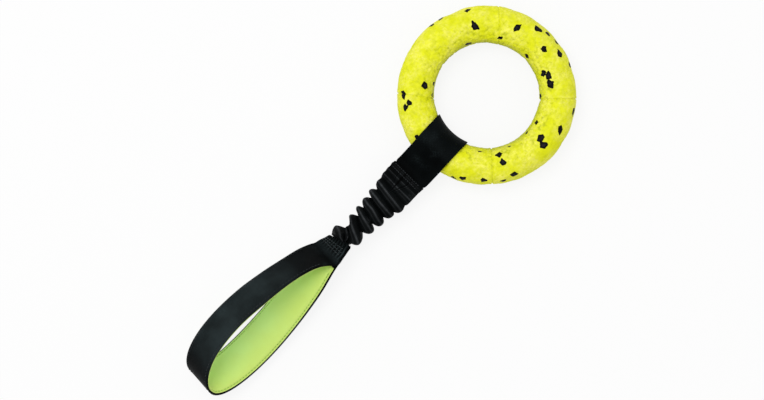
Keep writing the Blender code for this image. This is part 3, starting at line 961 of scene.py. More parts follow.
@dataclass
class FoamRing(SubAssembly):
    """The moulded ring: a torus with a pebbled skin, four mould lines across it and rubber chips in it."""

    rows: int = 640
    columns: int = 128
    sink: float = 0.4 * MM
    lump_size: float = 13.0 * MM
    lump_height: float = 1.15 * MM
    pebble_size: float = 3.3 * MM
    pebble_height: float = 1.2 * MM
    pebble_level: float = 0.6
    fine_size: float = 1.5 * MM
    fine_height: float = 0.08 * MM
    calm_size: float = 24.0 * MM
    calm_share: float = 0.38
    calm_inwards: Line = (0.55, 0.75)
    inwards: Line = (0.45, -0.75)
    # Painted shade on faces turned down outside and away from the top inside, and how much of it
    shaded_outside: Line = (-0.35, -1.1)
    low_inside: Line = (0.95, -1.3)
    low_face_shade: float = 0.55
    # Painted shade between the pebbles, more on the hole's side
    pit_shade_from: float = 0.5
    pit_shade_reach: float = 0.45
    pit_shade_inwards: Line = (0.12, 0.4)
    most_proud: float = 0.35 * MM
    proud_bend: float = 0.25 * MM
    groove_depth: float = 0.95 * MM
    groove_width: float = 0.65 * MM
    groove_lip: float = 0.22 * MM
    groove_lip_at: float = 2.2
    groove_rows: float = 3.0
    groove_rows_within: float = 2.5 * MM
    chip_rise: float = 0.12 * MM
    chip_edge: float = 0.8
    chip_sides: int = 5
    chip_far: float = 4.0
    chip_facing: float = 0.3
    corner_stray: float = 0.35
    corner_reach: tuple[float, float] = (0.8, 1.15)
    lower_chips: int = 46
    lower_stray: float = 0.45
    lower_angles: tuple[float, float] = (4.0, 176.0)
    lower_lengths: tuple[float, float] = (4.5, 8.0)
    lower_widths: tuple[float, float] = (3.6, 6.0)
    lower_tilt: float = 80.0
    seed: int = 11

    def angles(self) -> Array:
        """Where the rows lie round the ring: even, but crowded near the mould lines, by a summed density.

        Returns:
            One angle for each row.
        """
        turn = np.linspace(0.0, 2 * np.pi, 20 * self.rows + 1)
        density = np.ones_like(turn)
        for away in self.from_grooves(turn, self.layout.ring_radius):
            density += self.groove_rows * bell(away / self.groove_rows_within)
        reached = np.concatenate([[0.0], np.cumsum((density[1:] + density[:-1]) / 2)])
        shares = np.arange(self.rows) / self.rows * reached[-1]
        return np.interp(shares, reached, turn)

    def from_grooves(self, turn: Array, radius: Array | float) -> list[Array]:
        """How far points lie from each mould line: the radius times the angle to it, whose place goes evenly
        from its inner angle at the hole to its outer one at the rim.

        Args:
            turn: the points' angles round the ring.
            radius: how far they lie from the ring's axis.

        Returns:
            The signed distances, mould line by mould line.
        """
        share = (radius - self.layout.ring_radius) / self.layout.tube_radius / 2 + 0.5
        places = [np.radians(inner + (outer - inner) * share) for inner, outer in MOULD_LINES]
        return [radius * ((turn - place + np.pi) % (2 * np.pi) - np.pi) for place in places]

    def on_tube(self, turn: Array, round_tube: Array) -> tuple[Array, Array]:
        """Points of the plain torus: two circles, one carried round the other.

        Args:
            turn: angles round the ring.
            round_tube: angles round its tube, from the rim upwards.

        Returns:
            The points, and the way out of the torus at each.
        """
        away = together(
            np.cos(turn) * np.cos(round_tube), np.sin(turn) * np.cos(round_tube), np.sin(round_tube),
        )
        middle = together(np.cos(turn), np.sin(turn), 0.0) * self.layout.ring_radius
        centre = np.array([self.layout.ring_x, 0.0, self.layout.axis_z])
        return centre + middle + away * self.layout.tube_radius, away

    def all_chips(self) -> list[tuple[float, float, Chip]]:
        """Every chip with its place: first those above, at their own radius, then scattered ones below.

        Returns:
            The angles round the ring and round the tube, and the chip.
        """
        chips = []
        for chip in UPPER_CHIPS:
            lean = (chip.radius * MM - self.layout.ring_radius) / self.layout.tube_radius
            chips.append((math.radians(chip.angle), math.acos(np.clip(lean, -1.0, 1.0)), chip))
        random = np.random.default_rng(self.seed)
        for k in range(self.lower_chips):
            stray = random.uniform(-self.lower_stray, self.lower_stray)
            round_tube = -math.radians(random.uniform(*self.lower_angles))
            length, width = random.uniform(*self.lower_lengths), random.uniform(*self.lower_widths)
            chip = Chip(0.0, 0.0, length, width, random.uniform(-self.lower_tilt, self.lower_tilt))
            chips.append((2 * math.pi * (k + stray) / self.lower_chips, round_tube, chip))
        return chips

    def chip_distance(self, points: Array, away: Array) -> Array:
        """Millimetres to the nearest chip's edge, negative inside: a chip is where slanted planes meet.

        Args:
            points: the torus's points.
            away: the way out of the torus at each.

        Returns:
            One distance for each point, held at the far distance.
        """
        nearest = np.full(points.shape[:-1], self.chip_far)
        random = np.random.default_rng(self.seed + 1)
        for turn, round_tube, chip in self.all_chips():
            centre, out = (found[0] for found in self.on_tube(np.array([turn]), np.array([round_tube])))
            along = np.array([-math.sin(turn), math.cos(turn), 0.0])
            beside = np.cross(out, along)
            tilt = math.radians(chip.tilt)
            long_way = along * math.cos(tilt) + beside * math.sin(tilt)
            wide_way = np.cross(out, long_way)
            offset = (points - centre) / MM
            x = offset @ long_way / (chip.length / 2)
            y = offset @ wide_way / (chip.width / 2)
            stray = random.uniform(-self.corner_stray, self.corner_stray, self.chip_sides)
            turns = np.arange(self.chip_sides) + stray
            angles = 2 * np.pi * turns / self.chip_sides + random.uniform(0.0, np.pi)
            reach = random.uniform(*self.corner_reach, self.chip_sides)
            edges = [math.cos(a) * x + math.sin(a) * y - r for a, r in zip(angles, reach)]
            distance = np.max(edges, axis=0) * min(chip.length, chip.width) / 2
            distance = np.where(away @ out > self.chip_facing, distance, self.chip_far)
            nearest = np.minimum(nearest, distance)
        return nearest

    def inward(self, round_tube: Array) -> Array:
        """How far the skin faces the hole, from 0 to 1: an S of the cosine round the tube."""
        return smooth(on_line(self.inwards, np.cos(round_tube)))

    def relief(self, points: Array, turn: Array, round_tube: Array, pebble: Array, chip: Array) -> Array:
        """How far the skin stands out of the torus: the sum of its lumps, pebbles, mould lines and chips.

        A mould line is a bell-shaped groove between two low lips. The sum is bent off below its most proud
        height by the logarithm of one plus a power.

        Args:
            points: the torus's points.
            turn: their angles round the ring.
            round_tube: their angles round its tube.
            pebble: the pebbles' height there.
            chip: the distance to the nearest chip.

        Returns:
            The heights.
        """
        calm = 1.0 - self.calm_share + self.calm_share * noise(points, self.calm_size, self.seed + 2)
        calm = calm * on_line(self.calm_inwards, self.inward(round_tube))
        out = -self.sink + self.lump_height * noise(points, self.lump_size, self.seed + 7)
        out += self.pebble_height * calm * (pebble - self.pebble_level)
        out += self.fine_height * noise(points, self.fine_size, self.seed + 8)
        radius = self.layout.ring_radius + self.layout.tube_radius * np.cos(round_tube)
        for gap in self.from_grooves(turn, radius):
            lips = bell((np.abs(gap) - self.groove_lip_at * self.groove_width) / self.groove_width)
            out += self.groove_lip * lips - self.groove_depth * bell(gap / self.groove_width)
        out += self.chip_rise * smooth(-chip / self.chip_edge)
        below = np.logaddexp(0.0, (self.most_proud - out) / self.proud_bend)
        return self.most_proud - self.proud_bend * below

    def build(self) -> None:
        """The ring: the torus moved out or in by its relief, with its chips marked, and painted shade marked
        between its pebbles, on its faces turned down and on its hole's side.
        """
        turn = self.angles()[:, None]
        round_tube = circle(self.columns)
        points, away = self.on_tube(turn, round_tube)
        chip = self.chip_distance(points, away)
        pebble = pebbles(points, self.pebble_size, self.seed + 3)
        out = self.relief(points, turn, round_tube, pebble, chip)
        u = np.append(turn[:, 0], 2 * np.pi + turn[0, 0]) * self.layout.ring_radius
        v = np.linspace(0.0, 2 * np.pi, self.columns + 1) * self.layout.tube_radius
        blocks = (points + out[..., None] * away)[None]
        made = ringed("foam_ring", blocks, u, v, self.finishes.foam, wrap_rows=True)
        mark(made, "chip", chip)
        # Painted shade stored for the finish: between the pebbles, on faces turned down, and on faces
        # towards the hole
        inward = self.inward(round_tube)
        outside, inside = (smooth(on_line(low, away[..., 2])) for low in (self.shaded_outside, self.low_inside))
        between = smooth((self.pit_shade_from - pebble) / self.pit_shade_reach)
        between *= on_line(self.pit_shade_inwards, inward)
        mark(made, "painted_shade", np.maximum(between, self.low_face_shade * np.maximum(outside, inside * inward)))
        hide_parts("ring")
        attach(made, "ring")
        tell(made, "pebbled foam ring with chips")


@dataclass(frozen=True)
class Section:
    """A band's closed section: a flat face, a round edge, the other face and the other edge.

    flat goes from -1 to 1 over the flat part, edge and rise are in units of half the thickness.
    """

    flat: Array
    edge: Array
    rise: Array

    @classmethod
    def make(cls, across_steps: int, edge_steps: int) -> "Section":
        """A section of two straight runs and two half circles.

        Args:
            across_steps: how many points each face has.
            edge_steps: how many points lie inside each edge's half circle.

        Returns:
            The section.
        """
        face = np.linspace(-1.0, 1.0, across_steps)
        bend = np.linspace(np.pi / 2, -np.pi / 2, edge_steps + 2)[1:-1]
        ones, none = np.ones(across_steps), np.zeros(across_steps)
        turned = np.ones(edge_steps)
        return cls(
            flat=np.concatenate([face, turned, -face, -turned]),
            edge=np.concatenate([none, np.cos(bend), none, -np.cos(bend)]),
            rise=np.concatenate([ones, np.sin(bend), -ones, -np.sin(bend)]),
        )

    def points(self, half_width: Array, thickness: float) -> tuple[Array, Array]:
        """Places across and through, for bands of those half widths: the flat part and then the edge.

        Args:
            half_width: half of each band's width.
            thickness: their thickness.

        Returns:
            The places across and the places through, by band and point.
        """
        half = np.asarray(half_width, float)[..., None]
        w = self.flat * (half - thickness / 2) + self.edge * thickness / 2
        return w, np.broadcast_to(self.rise * thickness / 2, w.shape)

    def round_it(self, half_width: float, thickness: float) -> Array:
        """How far round the section each point lies, with the first point again at the end.

        Args:
            half_width: half the band's width.
            thickness: its thickness.

        Returns:
            The distances.
        """
        w, n = self.points(np.array([half_width]), thickness)
        loop = together(np.append(w[0], w[0, 0]), np.append(n[0], n[0, 0]))
        return np.concatenate([[0.0], np.cumsum(np.linalg.norm(np.diff(loop, axis=0), axis=1))])


@dataclass(frozen=True)
class Route:
    """Stations of a band: its middle line, the ways across and out of it, and the distance along it."""

    line: Array
    width: Array
    out: Array
    along: Array

    @classmethod
    def through_points(cls, line: Array, width: Array, step: float, reach: float) -> "Route":
        """Evens and softens a line and its width direction, and squares them to each other.

        Args:
            line: the middle line's points.
            width: the width direction at each.
            step: how far apart the stations are to lie.
            reach: how far the softening reaches.

        Returns:
            The route.
        """
        rows, along = spaced(np.concatenate([line, width], axis=1), step)
        rows = softened(rows, reach / step)
        tangent = unit(np.gradient(rows[:, :3], axis=0))
        wide = unit(rows[:, 3:])
        return cls(rows[:, :3], wide, unit(np.cross(tangent, wide)), along)

    def carry(self, w: Array, n: Array) -> Array:
        """Places at w across and n out of the line, by station and column."""
        return self.line[:, None] + w[..., None] * self.width[:, None] + n[..., None] * self.out[:, None]

    def at(self, places: Array) -> "Route":
        """The same route at other distances along it, read between its stations."""
        read = [
            np.stack([np.interp(places, self.along, rows[:, k]) for k in range(3)], axis=-1)
            for rows in (self.line, self.width, self.out)
        ]
        return Route(*read, places)


@dataclass(frozen=True)
class Stitching:
    """Short raised stitches of thread, their two ends drawn down into the cloth."""

    length: float = 2.5 * MM
    radius: float = 0.32 * MM
    arch: float = 0.34 * MM
    arched: Line = (1.0, -1.7)
    tapered: Line = (1.0, -0.8)
    rings: int = 7
    sides: int = 6

    def build(
        self, name: str, places: Array, along: Array, out: Array, material: bpy.types.Material,
    ) -> bpy.types.Object:
        """One object of all the stitches.

        A stitch is a tube whose middle line is a low arch and whose radius shrinks at both ends.

        Args:
            name: the object's name.
            places: the middle of each stitch, on the cloth.
            along: the way they run, or one way for each.
            out: the way out of the cloth, or one for each.
            material: the thread.

        Returns:
            The object.
        """
        share = np.linspace(-1.0, 1.0, self.rings)[:, None]
        turn = circle(self.sides)
        radius = self.radius * np.sqrt(on_line(self.tapered, share ** 4))
        x = share * self.length / 2 + 0.0 * turn
        y = radius * np.cos(turn)
        z = self.arch * on_line(self.arched, share ** 2) + radius * np.sin(turn)
        along, out = (np.broadcast_to(way, places.shape) for way in (along, out))
        beside = np.cross(out, along)
        blocks = places[:, None, None]
        for part, way in ((x, along), (y, beside), (z, out)):
            blocks = blocks + part[None, ..., None] * way[:, None, None]
        u, v = np.linspace(0.0, self.length, self.rings), np.linspace(0.0, 1.0, self.sides + 1)
        return ringed(name, blocks, u, v, material, capped=True)


@dataclass
class RingStrap(SubAssembly):
    """The webbing that loops round the ring and runs on, as two plies, into the sewn neck of the sleeve."""

    width: float = 38.0 * MM
    thickness: float = 1.8 * MM
    clearance: float = 0.45 * MM
    reach: float = 33.5 * MM
    neck_end: float = 39.0 * MM
    sway: float = 1.9 * MM
    sway_x: float = 53.0 * MM
    sway_reach: float = 24.0 * MM
    neck_ply: float = 2.85 * MM
    bend_at: float = 51.5 * MM
    arc_steps: int = 24
    across_steps: int = 56
    edge_steps: int = 7
    step: float = 0.8 * MM
    softening: float = 1.6 * MM
    neck_half: float = 17.0 * MM
    narrow_from: float = 48.0 * MM
    narrow_length: float = 5.0 * MM
    plain_from: float = 70.0 * MM
    ripple_x: float = 49.0 * MM
    ripple_height: float = 0.3 * MM
    ripple_length: float = 2.0 * MM
    ripple_wander: float = 0.8 * MM
    wander_size: float = 14.0 * MM
    wave_height: float = 0.12 * MM
    wave_size: float = 7.0 * MM
    wave_fade: float = 20.0 * MM
    # Painted sheen where the webbing curves over the ring's tube
    shine: float = 0.16
    shine_from: float = 74.0 * MM
    shine_fade: float = 8.0 * MM
    blend_from: float = 57.0 * MM
    blend_to: float = 44.0 * MM

    @property
    def radius(self) -> float:
        """The middle line's radius round the ring's tube."""
        return self.layout.tube_radius + self.clearance + self.thickness / 2

    @property
    def edge_x(self) -> float:
        """How far along X the hole's edge lies from the ring's axis at the strap's edges, by Pythagoras."""
        return math.sqrt(self.layout.hole_radius ** 2 - (self.width / 2) ** 2)

    def upper_half(self) -> Array:
        """Half the middle line, in x and height over the axis, from the hole over the ring to the neck.

        It is a quarter circle that stands off where the tube curves away across the webbing, a straight run,
        an arc round the tube down to the line that touches it, that line, and the level neck.

        Returns:
            The points.
        """
        stand_off = self.layout.hole_radius - self.edge_x
        lean = math.asin(self.radius / self.reach)
        front = np.linspace(0.0, np.pi / 2, self.arc_steps)
        back = np.linspace(np.pi / 2, np.pi - lean, self.arc_steps)
        arcs = [
            together(self.layout.tube_x + off + self.radius * np.cos(turn), self.radius * np.sin(turn))
            for off, turn in ((stand_off, front), (0.0, back))
        ]
        level = np.array([[self.bend_at, self.neck_ply], [self.neck_end, self.neck_ply]])
        return np.concatenate([*arcs, level])

    def route(self) -> Route:
        """The whole middle line, swayed by a bell, from the lower ply's end round the ring to the upper's.

        Returns:
            The route.
        """
        upper = self.upper_half()
        lower = (upper * np.array([1.0, -1.0]))[:0:-1]
        outline = np.concatenate([lower, upper])
        sway = -self.sway * bell((outline[:, 0] - self.sway_x) / self.sway_reach)
        line = together(outline[:, 0], sway, self.layout.axis_z + outline[:, 1])
        return Route.through_points(line, np.tile(across(0.0), (len(line), 1)), self.step, self.softening)

    def drawn_in(self, x: Array, w: Array) -> Array:
        """How far the strap's middle is drawn in to the ring's curve on the hole's side: what the hole's
        circle leaves between its edge at that width and at the strap's own edge.

        Args:
            x: places along X.
            w: places across.

        Returns:
            The distances.
        """
        share = smooth((x - self.layout.tube_x) / self.radius)
        seen = np.minimum(np.abs(w), self.width / 2)
        return share * (np.sqrt(self.layout.hole_radius ** 2 - seen ** 2) - self.edge_x)

    def relief(self, x: Array, w: Array) -> Array:
        """How far the plies stand out near the neck: a ripple, and slow waves that fade to the ring.

        Args:
            x: places along X.
            w: places across.

        Returns:
            The heights.
        """
        place = together(x, w, 0.0)
        wander = self.ripple_wander * noise(place, self.wander_size, seed=32)
        ripple = self.ripple_height * bell((x - self.ripple_x - wander) / self.ripple_length)
        fade = smooth((self.plain_from - x) / self.wave_fade)
        waves = self.wave_height * noise(place, self.wave_size, seed=33) * fade
        return (ripple + waves) * (x < self.plain_from)

    def build(self) -> None:
        """The strap, narrower where its two ends lie in the sleeve's mouth."""
        route = self.route()
        section = Section.make(self.across_steps, self.edge_steps)
        x = route.line[:, :1]
        inside = smooth((self.narrow_from - x[:, 0]) / self.narrow_length)
        half = self.width / 2 + (self.neck_half - self.width / 2) * inside
        w, n = section.points(half, self.thickness)
        points = route.carry(w, n + self.relief(x, w))
        points[..., 0] -= self.drawn_in(x, w)
        v = section.round_it(self.width / 2, self.thickness)
        made = ringed("ring_strap", points[None], route.along, v, self.finishes.webbing, capped=True)
        # Painted sheen over the ring's tube, stored as the finish's crest share
        mark(made, "crest", self.shine * smooth((points[..., 0] - self.shine_from) / self.shine_fade))
        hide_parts("ring_loop", "neck_webbing")
        start, end = self.layout.on_axis(self.blend_from), self.layout.on_axis(self.blend_to)
        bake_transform(made)
        tell(made, "webbing loop and neck")


@dataclass(frozen=True)
class Fold:
    """One roll of the gathered cloth and the valley after it, in millimetres.

    left and right are how far along the sleeve its crest lies at the two sides, and out_left, out_right and
    over how far it stands from the long axis there and above. The valley has the same five.
    """

    left: float
    right: float
    out_left: float
    out_right: float
    over: float
    valley_left: float
    valley_right: float
    in_left: float
    in_right: float
    under: float

    @property
    def middle(self) -> float:
        """How far along the crest lies at the sleeve's middle."""
        return (self.left + self.right) / 2

    @property
    def valley_middle(self) -> float:
        """How far along the valley lies at the sleeve's middle."""
        return (self.valley_left + self.valley_right) / 2


SLEEVE_FOLDS = (
    Fold(-3.3, -3.3, 18.2, 20.4, 5.5, 0.6, 0.6, 17.5, 20.1, 4.9),
    Fold(3.6, 3.6, 17.7, 20.3, 5.7, 6.2, 6.4, 17.3, 20.2, 4.9),
    Fold(10.0, 10.4, 17.2, 20.4, 6.2, 14.0, 16.8, 15.7, 19.3, 5.0),
    Fold(19.0, 23.2, 15.9, 21.2, 8.0, 24.9, 28.9, 10.5, 16.4, 5.2),
    Fold(31.0, 33.0, 15.2, 18.2, 9.2, 34.8, 39.4, 8.5, 12.2, 5.2),
    Fold(39.6, 46.0, 13.4, 16.9, 9.4, 46.0, 51.5, 7.7, 8.6, 5.0),
    Fold(50.2, 57.0, 12.8, 15.5, 9.0, 54.6, 64.0, 3.9, 7.5, 4.8),
    Fold(60.9, 74.9, 12.2, 14.8, 8.8, 66.0, 80.6, 4.2, 5.7, 4.8),
    Fold(68.5, 82.0, 4.2, 5.9, 4.9, 71.0, 82.9, 4.6, 6.6, 4.8),
    Fold(77.4, 85.0, 14.6, 10.0, 8.2, 90.0, 92.0, 9.0, 9.0, 4.8),
)


@dataclass
class GatheredSleeve(SubAssembly):
    """The cloth tube that gathers in rolls over the elastic cords while the toy is at rest."""

    rows: int = 320
    columns: int = 144
    roll: float = SLEEVE_ROLL
    wall: float = 0.8 * MM
    overlap: float = 6.6 * MM
    mouth_left: float = 17.6 * MM
    mouth_right: float = 20.7 * MM
    mouth_half_height: float = 5.0 * MM
    end_half_height: float = 2.9 * MM
    boxy_length: float = 26.0 * MM
    boxy_power: float = 0.34
    close_length: float = 5.0 * MM
    slope_power: float = 1.5
    fullness: float = 0.9 * MM
    before_mouth: float = 2.0
    roll_power: Line = (1.45, 0.25)
    crest_power: Line = (1.0, -0.2)
    wander_grown: Line = (0.2, 0.6)
    wander_width: float = 30.0
    wander_along: float = 0.25
    wander_apart: float = 20.0
    wander_size: float = 9.0
    wander_grows: float = 24.0
    valley_wander: float = 0.5
    seat_width: float = 22.0 * MM
    seat_height: float = 9.0 * MM
    crinkle: float = 0.16 * MM
    crinkle_size: float = 1.7 * MM
    crinkle_grain: Place = (1.0, 1.0, 0.55)
    pleat: float = 0.30 * MM
    pleat_size: float = 4.2 * MM
    pleat_grain: Place = (1.0, 1.0, 0.4)
    pleat_raised: Line = (0.35, 0.65)
    plain_mouth: float = 4.0
    least_half: float = 2.8 * MM
    # Painted highlight lines: strength, place in the roll and width
    shine_lines: tuple[Place, ...] = ((1.0, -0.06, 0.10), (0.25, 0.42, 0.08))
    shine_height: float = 0.06
    shine_mouth: Line = (0.55, 0.45)
    shine_across: Line = (1.05, -0.4)
    shine_broken: Line = (0.72, 0.28)
    shine_size: float = 3.4 * MM
    shine_from: float = 2.0
    shine_grows: float = 3.0
    flat_width: float = 78.0 * MM
    flat_length: float = 130.0 * MM
    tack_rows: tuple[float, ...] = (-5.2 * MM, -1.2 * MM)
    tack_half: float = 14.6 * MM
    tack_pitch: float = 2.4 * MM
    tack_stitch: float = 1.9 * MM

    def rolls(self, along: Array, q: Array) -> tuple[Array, Array]:
        """The height of the rolls from 0 in a valley to 1 on a crest, and the place in a roll from -1 to 1.

        A crest slants from its left place to its right one by a power of the share q across the sleeve. A
        roll is one less a power of the place: pointed at the left and rounder towards the right.

        Args:
            along: how far along the sleeve, in millimetres.
            q: the share across it, from 0 at the left to 1 at the right.

        Returns:
            The height and the place.
        """
        share = q ** self.slope_power
        along, q = np.broadcast_arrays(along, q)
        height = np.zeros(along.shape)
        place = np.zeros_like(height)
        before = -self.overlap / MM - self.before_mouth + 0.0 * share
        for k, fold in enumerate(SLEEVE_FOLDS):
            seat = together(q * self.wander_width, along * self.wander_along, self.wander_apart * k)
            grown = smooth(fold.left / self.wander_grows)
            wander = on_line(self.wander_grown, grown) * noise(seat, self.wander_size, seed=41)
            crest = fold.left + (fold.right - fold.left) * share + wander
            after = fold.valley_left + (fold.valley_right - fold.valley_left) * share
            after = after + self.valley_wander * wander
            run = np.where(along < crest, crest - before, after - crest)
            inside = (along >= before) & (along < after)
            spot = np.where(inside, (along - crest) / run, 1.0)
            rise = np.clip(1.0 - np.abs(spot) ** on_line(self.roll_power, q), 0.0, 1.0)
            rise = rise ** on_line(self.crest_power, q)
            height = np.where(inside, rise, height)
            place = np.where(inside, spot, place)
            before = after
        return height, place

    def reach(self, first: float, place: str, size: str, along: Array) -> Array:
        """How far the crests or the valleys reach to one side at each station, softened.

        Args:
            first: the reach at the mouth, in metres.
            place: the name of the fold's value for how far along it lies.
            size: the name of the fold's value for how far it reaches.
            along: the stations, in millimetres.

        Returns:
            The reach in metres, as a column.
        """
        knots = ((-self.overlap / MM, first / MM),)
        knots += tuple((getattr(fold, place), getattr(fold, size)) for fold in SLEEVE_FOLDS)
        return MM * curve_through(knots, along, 1.0)[:, None]

    def own_half(self, seen: Array, over: Array, roll: Array) -> Array:
        """The tilted section's half width: its reach from above, less its height's share by Pythagoras."""
        left = np.maximum(seen ** 2 - (over * np.sin(roll)) ** 2, self.least_half ** 2)
        return np.sqrt(left) / np.cos(roll)

    def surface(self) -> tuple[Array, Array, Array]:
        """The sleeve's outer surface, and its painted highlight: a broken line along each crest.

        Its section is an ellipse, boxy at the mouth, whose left, right and upper reach go from the valley's
        to the crest's with the rolls' height.

        Returns:
            The points, how far along the sleeve each row lies, in millimetres, and the shine.
        """
        length = self.layout.sleeve_length / MM
        overlap = self.overlap / MM
        along = np.linspace(-overlap, length, self.rows)
        down = along[:, None]
        turn = circle(self.columns)
        share = smooth(down * MM / self.boxy_length)
        power = self.boxy_power + (1.0 - self.boxy_power) * share
        side = np.sign(np.cos(turn)) * np.abs(np.cos(turn)) ** power
        up = np.sign(np.sin(turn)) * np.abs(np.sin(turn)) ** power
        q = 0.5 + 0.5 * side
        height, place = self.rolls(down, q)
        roll = self.roll * smooth(down / length)
        close = smooth((length - down) * MM / self.close_length)
        under = self.reach(self.mouth_half_height, "valley_middle", "under", along)
        over = self.reach(self.mouth_half_height, "middle", "over", along)
        over = under + (over - under) * height
        over = self.end_half_height + (over - self.end_half_height) * close
        halves = []
        for name, first in (("left", self.mouth_left), ("right", self.mouth_right)):
            valley = self.reach(first, "valley_" + name, "in_" + name, along)
            crest = self.reach(first, name, "out_" + name, along)
            halves.append(self.own_half(valley + (crest - valley) * height, over, roll))
        seat = together(side * self.seat_width, up * self.seat_height, down * MM)
        fine = self.crinkle * noise(seat * self.crinkle_grain, self.crinkle_size, seed=42)
        pleats = self.pleat * noise(seat * self.pleat_grain, self.pleat_size, seed=43)
        fine += pleats * on_line(self.pleat_raised, height)
        fine *= smooth((down + overlap) / self.plain_mouth) * close
        shift = self.fullness * np.sin(np.pi * place) * height * share * close
        x = np.maximum(self.layout.sleeve_x - down * MM - shift, self.layout.sleeve_end_x)
        w = side * (np.where(side < 0.0, *halves) + fine)
        points = self.layout.placed(x, w, up * (over + fine), roll)
        # Painted highlight lines along each roll's crest, broken by noise
        line = self.shine_height * height
        for strength, at, width in self.shine_lines:
            line += strength * bell((place - at) / width)
        line *= on_line(self.shine_mouth, share) * on_line(self.shine_across, q)
        broken = on_line(self.shine_broken, noise(seat, self.shine_size, seed=45))
        shine = line * broken * smooth((down + overlap - self.shine_from) / self.shine_grows)
        return points, along, np.clip(shine, 0.0, 1.0)

    def build(self) -> None:
        """The sleeve, its wall turned inwards from the surface, and the stitches across its mouth."""
        points, along, shine = self.surface()
        u = (along + self.overlap / MM) * MM * self.flat_length / self.layout.sleeve_length
        v = np.linspace(0.0, self.flat_width, self.columns + 1)
        made = ringed("sleeve_cloth", points[None], u, v, self.finishes.sleeve)
        # The painted highlight, stored as the finish's crest share
        mark(made, "crest", shine)
        wall = made.modifiers.new("cloth_wall", "SOLIDIFY")
        wall.thickness = self.wall
        wall.offset = -1.0
        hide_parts("gathered_sleeve")
        start, end = self.layout.on_axis(self.layout.sleeve_x), self.layout.on_axis(self.layout.sleeve_end_x)
        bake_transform(made)
        tell(made, "gathered cloth")
        for face in Face:
            self.tack(points, face)

    def tack(self, points: Array, face: Face) -> None:
        """The rows of stitches through the mouth, each stitch at the height of the cloth below it.

        Args:
            points: the sleeve's surface.
            face: the face that the stitches lie on.
        """
        w = np.arange(-self.tack_half, self.tack_half, self.tack_pitch)
        step = (self.layout.sleeve_length + self.overlap) / (self.rows - 1)
        places = []
        for row in self.tack_rows:
            ring = points[int(round((row + self.overlap) / step))]
            outer = ring[(ring[:, 2] - self.layout.axis_z) * face.value > 0.0]
            outer = outer[np.argsort(outer[:, 1])]
            places.append(together(ring[:, 0].mean(), -w, np.interp(-w, outer[:, 1], outer[:, 2])))
        places, out = np.concatenate(places), face.value * through(0.0)
        name = face.name.lower()
        stitching = Stitching(length=self.tack_stitch)
        made = stitching.build(f"neck_stitches_{name}", places, across(0.0), out, self.finishes.black_thread)
        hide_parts(f"neck_tack_{name}")
        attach(made, "bungee")
        tell(made, "stitches across the neck")


@dataclass
class BungeeCords(SubAssembly):
    """The two wrapped elastic cords in the sleeve, pressed flat where they are sewn in."""

    radius: float = 2.6 * MM
    end_half_height: float = 1.5 * MM
    apart: float = 0.8 * MM
    end_apart: float = 0.6 * MM
    grip: float = 5.3 * MM
    spread: float = 14.0 * MM
    late_spread: float = 6.0 * MM
    late_start: float = 2.0 * MM
    sway: Knots = (
        (0.0, 0.4), (30.0, 0.9), (52.0, 2.3), (66.0, 1.9), (74.0, 1.0), (80.0, -0.4), (88.0, 0.0),
    )
    sway_reach: float = 2.5
    roll: float = SLEEVE_ROLL
    stations: int = 150
    sides: int = 24

    def build(self, side: Side) -> None:
        """One cord: an ellipse of even area along the sleeve's line, swayed and rolled as the sleeve is.

        Args:
            side: which of the two it is.
        """
        length = self.layout.sleeve_length
        along = np.linspace(-self.grip, length + self.grip, self.stations)[:, None]
        turn = circle(self.sides)
        ending = smooth((length + self.late_start - along) / self.late_spread)
        round_share = smooth(along / self.spread) * ending
        half_height = self.end_half_height + (self.radius - self.end_half_height) * round_share
        half_width = self.radius ** 2 / half_height
        apart = self.end_apart + (self.apart - self.end_apart) * round_share
        sway = MM * curve_through(self.sway, along[:, 0] / MM, self.sway_reach)[:, None]
        w = side.value * (half_width + apart / 2) + sway + half_width * np.cos(turn)
        roll = self.roll * smooth(along / length)
        points = self.layout.placed(self.layout.sleeve_x - along, w, half_height * np.sin(turn), roll)
        name = side.name.lower()
        v = np.linspace(0.0, 1.0, self.sides + 1)
        made = ringed(f"elastic_{name}", points[None], along[:, 0], v, self.finishes.elastic, capped=True)
        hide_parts(f"bungee_cord_{name}")
        start, end = self.layout.on_axis(self.layout.sleeve_x), self.layout.on_axis(self.layout.sleeve_end_x)
        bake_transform(made)
        tell(made, "elastic cord")


